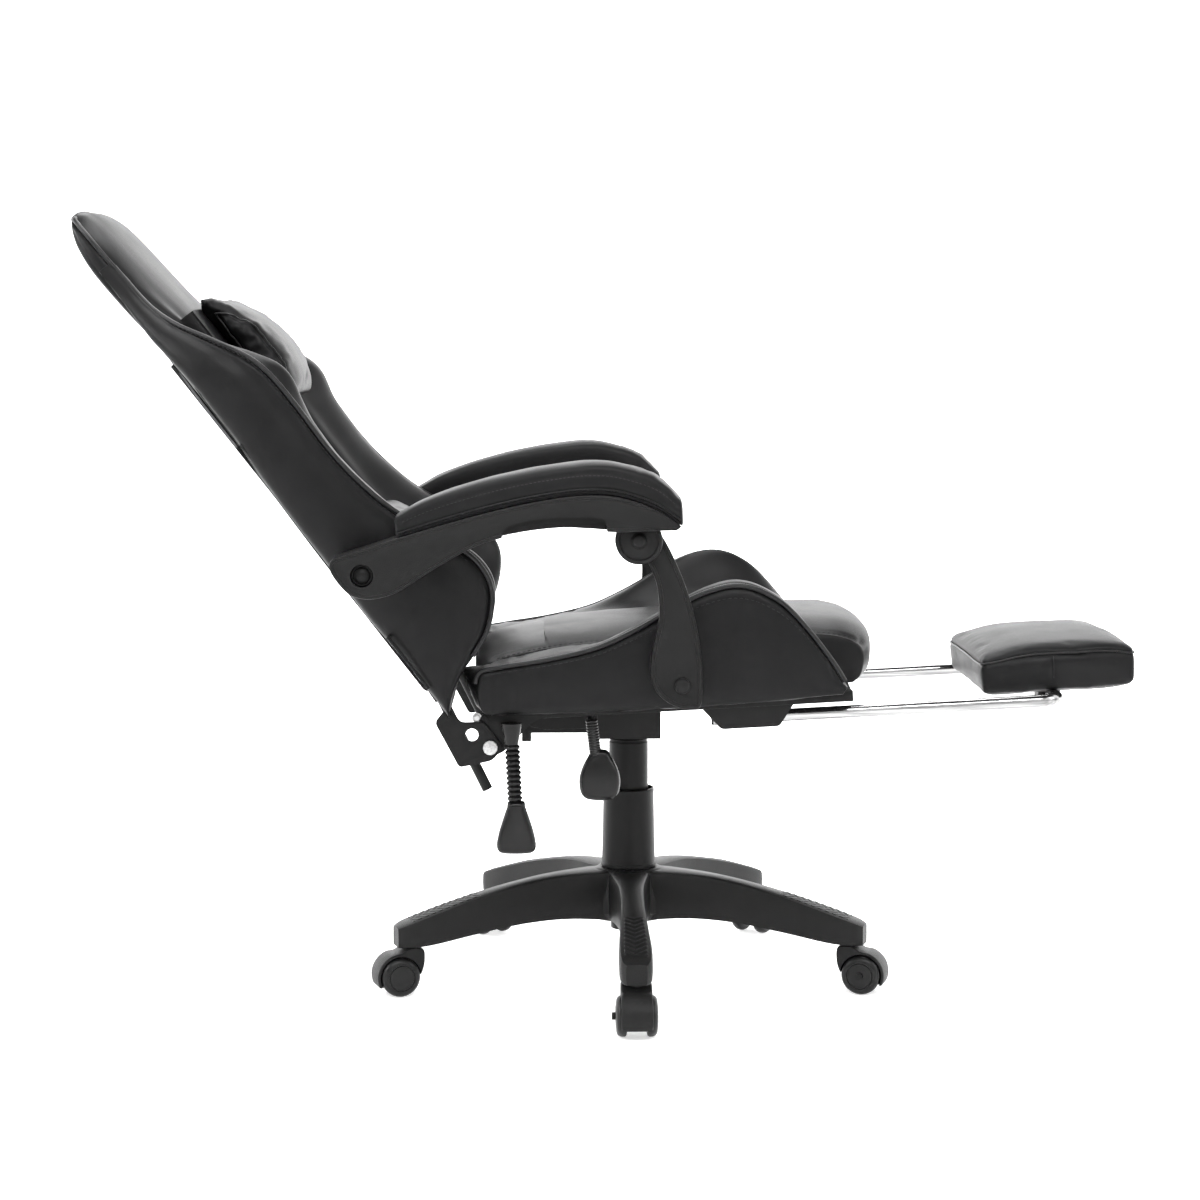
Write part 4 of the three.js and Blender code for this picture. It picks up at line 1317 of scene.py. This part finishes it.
# %% [markdown]
# ## Armrests
# An armrest is a moulded beam with a padded top. The beam's outer face is sunk inside a polished rim, which
# is done with layers: out to the rim, over it, and down to the field. The front disc covers the pivot to the
# link, and a recess under the beam leaves room for the hand.
# %% Armrest beams
ARM_PIVOT = Vector(joint["armrest_right_pivot"]["pos_m"])
SHELL_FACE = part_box("armrest_shell_left")[1].y - 0.0005
DISC = (0.002, 0.597)
PAD_FOOT = [(-0.282, 0.6030), (-0.222, 0.6205), (-0.165, 0.6355), (-0.107, 0.6475), (-0.064, 0.6525),
            (-0.021, 0.6500), (0.023, 0.6350), (0.051, 0.6165)]
BEAM_UNDER = [(0.046, 0.6110), (0.020, 0.6105), (-0.023, 0.6090), (-0.060, 0.6112), (-0.092, 0.6120),
              (-0.136, 0.6070), (-0.179, 0.5970), (-0.215, 0.5800), (-0.250, 0.5590), (-0.280, 0.5400),
              (-0.299, 0.5330), (-0.319, 0.5305), (-0.338, 0.5360), (-0.352, 0.5500), (-0.3615, 0.5660),
              (-0.3600, 0.5760), (-0.3500, 0.5805), (-0.3200, 0.5900)]


def beam_outline():
    top = smooth_line([(a, b - 0.0004) for a, b in PAD_FOOT], 70)
    under = smooth_line(BEAM_UNDER, 120)
    return even(np.array([*top, *under, top[0]]), 230, True)


def rimmed(near, far, rim=0.0042, sunk=0.0022):
    """Layers of a plate with a raised rim on its far face."""
    return [(0.0016, near), (0.0004, near + 0.0006), (0, near + 0.002), (0, far - 0.0016),
            (0.0005, far - 0.0005), (0.0014, far), (rim - 0.0012, far), (rim - 0.0004, far - 0.0004),
            (rim, far - sunk + 0.0003), (rim + 0.0006, far - sunk)]


def upright_place(k):
    return lambda a, depth, b: at_level(a, k * depth, b)


def thin_nose(x, z):
    """The rim fades out where the beam thins to its front nose."""
    return min(1.0, max(0.05, (0.034 - x) / 0.030))


RECESS = [(-0.1600, 0.600), (-0.1585, 0.6080), (-0.1500, 0.6165), (-0.1200, 0.6235), (-0.0800, 0.6265),
          (-0.0450, 0.6255), (-0.0370, 0.6180), (-0.0360, 0.600)]


def beam(side, k):
    place = upright_place(k)
    body = layered(beam_outline(), rimmed(0.272, SHELL_FACE + 0.0094), place, thin_nose)
    hollow = layered(even(np.array([*smooth_line(RECESS, 60)]), 60, True),
                     [(0, 0.3020), (0, 0.3500)], place)
    washer = turn([(0.0135, -0.03), (0.0135, 0.002)],
                  at_level(ARM_PIVOT.x - swivel.x, k * (SHELL_FACE + 0.0094), ARM_PIVOT.z), (0, k, 0), 48)
    pocket = turn([(0.0325, -0.05), (0.0325, 0)], at_level(DISC[0], k * 0.291, DISC[1]), (0, k, 0), 56)
    obj = united(f"armrest_beam_{side}", body, cut=[hollow, washer, pocket])
    return dress(obj, shell_plastic, f"armrest_{side}", f"armrest_shell_{side}")


def disc(side, k):
    middle = at_level(DISC[0], 0, DISC[1])
    profile = [(0.0262, 0.292), (0.0276, 0.2932), (0.0280, 0.295), (0.0280, 0.3140), (0.0274, 0.3162),
               (0.0258, 0.3178), (0.0238, 0.3180), (0.0226, 0.3170), (0.0218, 0.3158), (0.0100, 0.3156),
               (0.0090, 0.3164), (0.0084, 0.3180), (0.0074, 0.3198), (0.0050, 0.3208), (0.0001, 0.3210)]
    obj = loft(f"armrest_disc_{side}", turn(profile, middle, (0, k, 0), 72), 40)
    return dress(obj, shell_plastic, f"armrest_{side}")


def pivot_cap(side, k):
    """The rear bolt: a washer, a dished head and its shank through the beam."""
    middle = at_level(ARM_PIVOT.x - swivel.x, 0, ARM_PIVOT.z)
    shank = [(0.0001, 0.2625), (0.0060, 0.2625), (0.0060, 0.3270), (0.0128, 0.3272), (0.0132, 0.3290),
             (0.0124, 0.3302), (0.0108, 0.3304), (0.0100, 0.3296), (0.0098, 0.3290), (0.0060, 0.3312),
             (0.0001, 0.3318)]
    obj = loft(f"armrest_pivot_{side}", turn(shank, middle, (0, k, 0), 48), 40)
    return dress(obj, column_steel, "back", f"armrest_bolt_{side}")


for side, k in SIDES.items():
    beam(side, k)
    disc(side, k)
    pivot_cap(side, k)
print("beams reach out to", round(SHELL_FACE + 0.0094, 3), "m")

# %% [markdown]
# The link joins the armrest to the seat. It has the same rimmed face, waisted in the middle, and a domed bolt
# head at its foot that turns on the seat's side.
# %% Armrest links
LINK_PIVOT = Vector(joint["link_right_pivot"]["pos_m"])
LINK = [(-0.012, 0.590), (0.004, 0.579), (0.016, 0.564), (0.0255, 0.537), (0.0275, 0.502), (0.0225, 0.478),
        (0.0175, 0.452), (0.0180, 0.430), (0.0260, 0.411), (0.0450, 0.397), (0.0690, 0.392), (0.0775, 0.398),
        (0.0790, 0.424), (0.0775, 0.456), (0.0715, 0.494), (0.0600, 0.537), (0.0420, 0.580), (0.0260, 0.606),
        (0.0080, 0.616), (-0.0080, 0.6120), (-0.0150, 0.600)]


def link(side, k):
    middle = at_level(LINK_PIVOT.x - swivel.x, k * 0.30, LINK_PIVOT.z)
    hole = turn([(0.0066, -0.05), (0.0066, 0.03)], middle, (0, k, 0), 32)
    arm = layered(smooth_line(LINK, 150, True), rimmed(0.268, 0.290, 0.0052, 0.0018), upright_place(k))
    obj = united(f"armrest_link_arm_{side}", arm, cut=[hole])
    return dress(obj, shell_plastic, f"link_{side}", f"armrest_link_{side}")


def link_pin(side, k):
    middle = at_level(LINK_PIVOT.x - swivel.x, 0, LINK_PIVOT.z)
    profile = [(0.0001, 0.2503), (0.0125, 0.2503), (0.0140, 0.2520), (0.0140, 0.2655), (0.0130, 0.2670),
               (0.0060, 0.2672), (0.0060, 0.2900), (0.0092, 0.2902), (0.0094, 0.2912), (0.0086, 0.2928),
               (0.0060, 0.2940), (0.0001, 0.2946)]
    obj = loft(f"link_pin_{side}", turn(profile, middle, (0, k, 0), 48), 40)
    return dress(obj, shell_plastic, "seat", f"link_bolt_{side}")


for side, k in SIDES.items():
    link(side, k)
    link_pin(side, k)
print("links pivot", round(LINK_PIVOT.z, 3), "m up")

# %% [markdown]
# The armrest pad is foam under leather, crowned across and rounded at both ends. Its side is sewn in two
# panels: a seam runs along it in the upper third, and a welt closes it just above the beam. Where the pad
# falls at the front, the cover wrinkles.
# %% Armrest pads
PAD_TOP = [(-0.2835, 0.6275), (-0.250, 0.6455), (-0.193, 0.6650), (-0.136, 0.6790), (-0.078, 0.6880),
           (-0.050, 0.6900), (-0.021, 0.6870), (0.023, 0.6725), (0.050, 0.6480)]
PAD_MIDDLE = sum(p.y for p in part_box("armrest_pad_left")) / 2
PAD_HALF = 0.0345


def pad_section(share, edge):
    run = [(0, 0.0), (0.86, 0.0), (0.955, 0.04), (0.985, 0.15), (1.0, 0.32), (1.005, 0.50), (0.99, 0.68),
           (0.945, 0.84), (0.82, 0.96), (0.5, 1.03), (0, 1.055)]
    whole = run + [(-y, h) for y, h in reversed(run[1:-1])]
    return [(PAD_MIDDLE + PAD_HALF * y, h) for y, h in whole]


def pad_line(k, y, height, span=(0, 1), lift=0.0):
    return on_fan(PAD_FOOT, PAD_TOP, upright_fan(k),
                  lambda e: PAD_MIDDLE + PAD_HALF * y + lift, height, span=span)


def upright_fan(k):
    return lambda a, y, b: at_level(a, k * y, b)


def front_slope(co):
    x = co.x - swivel.x
    return max(0.0, 1 - abs(x - 0.020) / 0.040)


for side, k in SIDES.items():
    rings = fan(PAD_FOOT, PAD_TOP, pad_section, upright_fan(k), 130, 84)
    pad = loft(f"armrest_cushion_{side}", round_ends(rings, 0.0035, 0.0045, 6), 60)
    ruffle(pad, 0.0007, 0.045, (1, 1, 1), 31.0 + k)
    ruffle(pad, 0.0016, 0.012, (1.2, 0.5, 0.5), 33.0 + k, front_slope)
    upper = pad_line(k, 0.992, 0.66, (0.01, 0.99))
    welt = pad_line(k, 0.990, 0.17, (0.0, 1.0))
    press(pad, upper, 0.0012, 0.0028)
    press(pad, welt, 0.0012, 0.0025)
    dress(pad, leather, f"armrest_{side}", f"armrest_pad_{side}", fill=0.8)
    dress(loft(f"armrest_welt_{side}", sweep(welt, 0.0011, 8), 60), piping, f"armrest_{side}")
    row = stitches(pad_line(k, 1.0, 0.60, (0.02, 0.98)), 0.0050, 0.0032, 0.00045)
    dress(loft_all(f"armrest_stitching_{side}", row, 60), thread, f"armrest_{side}")
print("pads are", round(2000 * PAD_HALF), "mm wide")

# %% [markdown]
# ## Footrest
# Two chrome rods slide in plastic guides under the seat and join in a crossbar that carries the pad. The
# rods are one bent tube, so one path makes them: along one side, round a bend, across and back.
# %% Rods and guides
ROD_R = 0.008
ROD_Y = (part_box("footrest_rods")[1].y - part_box("footrest_rods")[0].y) / 2 - ROD_R
ROD_W = 0.0144
CROSSBAR = Vector(joint["footrest_flip"]["pos_m"])
BAR_U = (CROSSBAR.x - swivel.x) / math.cos(SEAT_PITCH) + ROD_W * math.tan(SEAT_PITCH)
ROD_REAR = 0.100
BEND = 0.028


def rod_path():
    half = [(u, -ROD_Y) for u in np.linspace(ROD_REAR, BAR_U - BEND, 40)]
    half += [(BAR_U - BEND + BEND * math.sin(a), -ROD_Y + BEND - BEND * math.cos(a))
             for a in np.linspace(0.08, math.pi / 2, 14)]
    half += [(BAR_U, y) for y in np.linspace(-ROD_Y + BEND + 0.01, -0.01, 16)]
    plan = half + [(u, -y) for u, y in reversed(half)]
    return [at_seat(u, y, ROD_W) for u, y in plan]


tube = loft("footrest_tube", sweep(rod_path(), ROD_R - 0.0001, 32), 50)
dress(tube, chrome, "footrest_frame", "footrest_rods")
for side, k in SIDES.items():
    eased(f"footrest_guide_{side}", shell_plastic, 0.001)
    end = at_seat(ROD_REAR, k * ROD_Y, ROD_W)
    out = at_seat(0, 0, 0) - at_seat(1, 0, 0)
    plug = turn([(0.0076, -0.002), (0.0079, 0.0004), (0.0070, 0.0022), (0.0001, 0.0026)], end, out, 32)
    dress(loft(f"rod_plug_{side}", plug, 40), gloss_plastic, "footrest_frame")
print("the crossbar is at u =", round(BAR_U, 3))

# %% [markdown]
# The footrest pad is a small stuffed cushion. It starts as a fan with its final outline and is puffed by
# simulation. Its cover has a top and a bottom panel with a band between them, and the band's corners are
# closed by short upright seams.
# %% Footrest pad
PAD_UNDER = [(0.444, 0.0185), (0.500, 0.0185), (0.560, 0.0190), (0.600, 0.0200), (0.636, 0.0225)]
PAD_OVER = [(0.442, 0.0660), (0.500, 0.0780), (0.560, 0.0790), (0.600, 0.0780), (0.636, 0.0720)]
FOOT_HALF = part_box("footrest_pad")[1].y - 0.003


def foot_section(share, edge):
    run = [(0, 0.0), (0.95, 0.0), (0.985, 0.02), (1.0, 0.08), (1.005, 0.45), (1.0, 0.80), (0.98, 0.90),
           (0.90, 0.97), (0.5, 1.04), (0, 1.07)]
    whole = run + [(-y, h) for y, h in reversed(run[1:-1])]
    return [(FOOT_HALF * y, h) for y, h in whole]


rings = fan(PAD_UNDER, PAD_OVER, foot_section, at_seat, 50, 110)
foot = stuff(loft("footrest_cushion", round_ends(rings, 0.003, 0.004, 5), 60), 0.005, 0.003)
smoothed(foot, 3)
ruffle(foot, 0.0010, 0.040, (1, 0.6, 1), 41.0)


def foot_band(height, grow):
    """A closed line round the pad's side at one height."""
    low, high = smooth_line(PAD_UNDER, 40), smooth_line(PAD_OVER, 40)
    mid = low + (high - low) * height
    side_line = [(u, FOOT_HALF + grow, w) for u, w in mid]
    first, last = mid[0], mid[-1]
    return [at_seat(*p) for p in smooth_line(
        [*side_line[::5], (last[0] + 0.004 + grow, FOOT_HALF * 0.9, last[1]),
         (last[0] + 0.006 + grow, 0, last[1]), (last[0] + 0.004 + grow, -FOOT_HALF * 0.9, last[1]),
         *[(u, -y, w) for u, y, w in side_line[::-5]], (first[0] - 0.003 - grow, -FOOT_HALF * 0.9, first[1]),
         (first[0] - 0.005 - grow, 0, first[1]), (first[0] - 0.003 - grow, FOOT_HALF * 0.9, first[1])],
        260, True)]


def on_skin(obj, path, lift=0.0):
    """The path laid onto the nearest skin of obj."""
    laid = []
    for p in path:
        _, place, normal, _ = obj.closest_point_on_mesh(p)
        laid.append(place + normal * lift)
    return laid


band = on_skin(foot, foot_band(0.84, 0.002), 0.0002)
press(foot, band, 0.0016, 0.0035)
dress(loft("footrest_piping", sweep([*band, band[0]], 0.0011, 8), 60), piping, "footrest_pad")
seam_rings = []
for k in (-1, 1):
    upright = on_skin(foot, [at_seat(0.533, k * (FOOT_HALF + 0.004), w)
                             for w in np.linspace(0.036, 0.068, 24)])
    press(foot, upright, 0.0012, 0.003)
    seam_rings.append(sweep(upright, 0.0006, 6))
dress(loft_all("footrest_side_seams", seam_rings, 60), thread, "footrest_pad")
dress(foot, leather, "footrest_pad", "footrest_pad", fill=0.8)
print("the footrest pad has", len(foot.data.polygons), "faces")

# %% [markdown]
# ## Neck pillow and lumbar cushion
# Both are loose bags held by straps. The pillow is fat and short, so its cover creases at the ends, where a
# gusset is sewn in. The lumbar cushion is longer and flatter. Each is a fan, puffed, then creased.
# %% Pillows
PILLOW_BACK = [(0.492, 0.0480), (0.530, 0.0470), (0.575, 0.0470), (0.620, 0.0475), (0.656, 0.0500)]
PILLOW_FRONT = [(0.484, 0.0740), (0.508, 0.0840), (0.541, 0.0905), (0.575, 0.0880), (0.609, 0.0770),
                (0.642, 0.0590)]
LUMBAR_BACK = [(0.162, 0.0475), (0.200, 0.0470), (0.260, 0.0470), (0.308, 0.0480)]
LUMBAR_FRONT = [(0.162, 0.0660), (0.195, 0.0760), (0.240, 0.0790), (0.280, 0.0740), (0.310, 0.0620)]


def bag_section(half, pinch):
    """A bag's section: its ends are pinched towards the gusset seam."""
    run = [(0, -0.02), (0.80, 0.0), (0.93, 0.08), (0.985, 0.28), (1.0, 0.48), (0.99, 0.66), (0.94, 0.83),
           (0.82, 0.95), (0.5, 1.0 + pinch), (0, 1.02 + pinch)]
    whole = run + [(-y, h) for y, h in reversed(run[1:-1])]
    return lambda share, edge: [(half * y, h) for y, h in whole]


def end_folds(half):
    """Folds gather towards a bag's ends."""
    return lambda co: max(0.0, (abs(co.y) / half - 0.45) / 0.55) ** 1.2


def pillow(name, back_line, front_line, node, depth, seed):
    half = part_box(node)[1].y - 0.002
    rings = fan(back_line, front_line, bag_section(half, 0.03), back_place, 50, 110)
    bag = stuff(loft(name, round_ends(rings, 0.006, 0.006, 5), 60), 0.005, 0.006, 5.0)
    smoothed(bag, 2)
    ruffle(bag, depth, 0.030, (1.2, 0.7, 1.2), seed, end_folds(half))
    ruffle(bag, depth * 0.5, 0.014, (1.5, 0.35, 1.5), seed + 7, end_folds(half))
    gussets = []
    for k in (-1, 1):
        edge = smooth_line([*back_line[1:-1], *reversed(front_line[1:-1])], 90, True)
        loop = on_skin(bag, [back_place(s, k * half * 0.965, d) for s, d in edge], 0.0003)
        press(bag, loop, 0.0022, 0.004)
        gussets.append(sweep([*loop, loop[0], loop[1]], 0.0011, 8))
    dress(loft_all(name + "_piping", gussets, 60), piping, "back")
    return dress(bag, leather, "back", node, fill=0.75)


pillow("neck_cushion", PILLOW_BACK, PILLOW_FRONT, "neck_pillow", 0.0050, 51.0)
pillow("lumbar_bag", LUMBAR_BACK, LUMBAR_FRONT, "lumbar_cushion", 0.0022, 61.0)
print("pillows are stuffed")

# %% [markdown]
# The lumbar cushion's strap comes through to the rear and is closed by a side-release buckle. A strap is flat
# webbing with folded edges, drawn directly. The buckle is a moulded frame with two prongs.
# %% Strap and buckle
def strap():
    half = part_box("lumbar_strap")[1].y
    path = smooth_line([(0.150, -0.0300), (0.182, -0.0335), (0.215, -0.0325), (0.300, -0.0318),
                        (0.400, -0.0325), (0.424, -0.0350)], 80)
    rings = []
    for i, (s, d) in enumerate(path):
        ends = min(i, len(path) - 1 - i) / 5
        thick = 0.0011 * min(1, 0.4 + ends)
        sag = 0.0004 * math.sin(i * 0.5)
        run = [(-half, 0), (-half * 0.97, thick), (-half * 0.6, thick * 0.85), (half * 0.6, thick * 0.85),
               (half * 0.97, thick), (half, 0), (half * 0.97, -thick), (-half * 0.97, -thick)]
        rings.append([at_back(s, y, d + h + sag) for y, h in run])
    return dress(loft("rear_strap", rings, 40), webbing, "back", "lumbar_strap")


def buckle():
    place = lambda a, depth, b: at_back(a, b, depth)
    plug = smooth_line([(0.424, 0.013), (0.424, -0.013), (0.436, -0.0205), (0.446, -0.0215), (0.448, -0.019),
                        (0.448, 0.019), (0.446, 0.0215), (0.436, 0.0205)], 80, True)
    socket = smooth_line([(0.450, 0.0225), (0.450, -0.0225), (0.462, -0.0245), (0.476, -0.0235),
                          (0.483, -0.018), (0.483, 0.018), (0.476, 0.0235), (0.462, 0.0245)], 80, True)
    prongs = [sweep([at_back(0.440, k * 0.0185, -0.034), at_back(0.458, k * 0.0225, -0.034),
                     at_back(0.470, k * 0.0200, -0.034)], [0.0030, 0.0034, 0.0022], 12) for k in (-1, 1)]
    bars = [sweep([at_back(0.4265, -0.017, -0.0335), at_back(0.4265, 0.017, -0.0335)], 0.0022, 12)]
    parts = [layered(plug, rounded(-0.0300, -0.0388, 0.0022), place),
             layered(socket, rounded(-0.0290, -0.0405, 0.0028), place), *prongs, *bars]
    return dress(loft_all("side_release_buckle", parts, 40), gloss_plastic, "back", "strap_buckle")


strap()
buckle()
print("the strap is buckled")

# %% [markdown]
# ## Stage
# The floor and backdrop are one round pale sheet whose rim curves up, so that there is no horizon. It glows
# behind the chair and is dim in front, since black leather shows whatever stands before it. A soft box
# overhead draws the long highlights, and three more keep the dark parts readable.
# %% Floor and light
def make_paper():
    f = Finish("backdrop_paper", "webbing")
    fibre = f.cloud(3, 4)
    colour = f.tint(fibre, (0.86, 0.86, 0.86), (0.90, 0.90, 0.90))
    depth = f.add("ShaderNodeSeparateXYZ", {}, {0: f.place()}, "Y")
    height = f.add("ShaderNodeSeparateXYZ", {}, {0: f.place()}, "Z")
    behind = depth * 0.5 + 0.5
    glow = f.math("MAXIMUM", behind, 0.48 - height * 0.9).clamped(0.05, 0.95)
    light = f.tint(glow, (0, 0, 0), (1, 1, 1))
    return f.close(Base_Color=colour, Roughness=0.75 + 0.1 * fibre, Emission_Color=light,
                   Emission_Strength=1.0)


def backdrop():
    """A round sheet whose rim curves up, so that there is no horizon from any side."""
    bend = [(5.5 + 1.8 * math.sin(a), 1.8 - 1.8 * math.cos(a)) for a in np.linspace(0, math.pi / 2, 14)]
    profile = [(0.4, 0), (1.5, 0), (3.5, 0), *bend, (7.3, 7.0)]
    rings = turn(profile, (0, 0, -0.0005), (0, 0, 1), 96)
    points = [p for ring in rings for p in ring]
    faces = [f for f in ring_faces(len(rings), 96)[:-1]]
    sheet = new_mesh("backdrop", points, faces, 60)
    sheet.data.materials.append(make_paper().material)


def soft_box(name, at, aim, width, height, power):
    lamp = bpy.data.lights.new(name, "AREA")
    lamp.shape = "RECTANGLE"
    lamp.size, lamp.size_y, lamp.energy = width, height, power
    obj = bpy.data.objects.new(name, lamp)
    obj.location = at
    obj.rotation_euler = (Vector(aim) - Vector(at)).to_track_quat("-Z", "Y").to_euler()
    bpy.context.scene.collection.objects.link(obj)


backdrop()
soft_box("overhead", (-0.3, 0.2, 3.2), (0, 0, 0.5), 3.2, 1.4, 105)
soft_box("front_fill", (0.4, -3.2, 3.4), (0, 0, 0.4), 3.0, 0.6, 105)
soft_box("rear_left", (-3.0, -1.0, 2.2), (-0.2, 0, 0.5), 1.0, 1.8, 60)
soft_box("front_right", (3.0, -0.8, 2.0), (0.2, 0, 0.4), 1.2, 1.8, 35)
soft_box("backdrop_wash", (0, 3.0, 5.0), (0, 6.5, 1.5), 5.0, 1.0, 260)
world = bpy.data.worlds.new("light_tent")
world.use_nodes = True
world.node_tree.nodes["Background"].inputs["Color"].default_value = (1, 1, 1, 1)
world.node_tree.nodes["Background"].inputs["Strength"].default_value = 0.10
bpy.context.scene.world = world
bpy.context.scene.view_settings.view_transform = "Standard"
print("soft boxes over and beside the chair")

# %% [markdown]
# The camera stands beside the chair at chest height, a little towards the back, with a long lens that keeps
# the sides parallel. It looks slightly down.
# %% Camera
EYE_HEIGHT = 0.845
EYE_DISTANCE = 3.5
EYE_TURN = math.radians(1.87)
HEADING = math.radians(1.26)
LOOK_DOWN = math.radians(5.7)
FOCAL = 81.2

lens = bpy.data.cameras.new("camera")
lens.sensor_width = 36
lens.lens = FOCAL
camera = bpy.data.objects.new("camera", lens)
camera.location = at_level(-EYE_DISTANCE * math.sin(EYE_TURN), -EYE_DISTANCE * math.cos(EYE_TURN), EYE_HEIGHT)
camera.rotation_euler = (math.pi / 2 - LOOK_DOWN, 0, -HEADING)
bpy.context.scene.collection.objects.link(camera)
bpy.context.scene.camera = camera
print("a lens of", round(FOCAL), "mm")
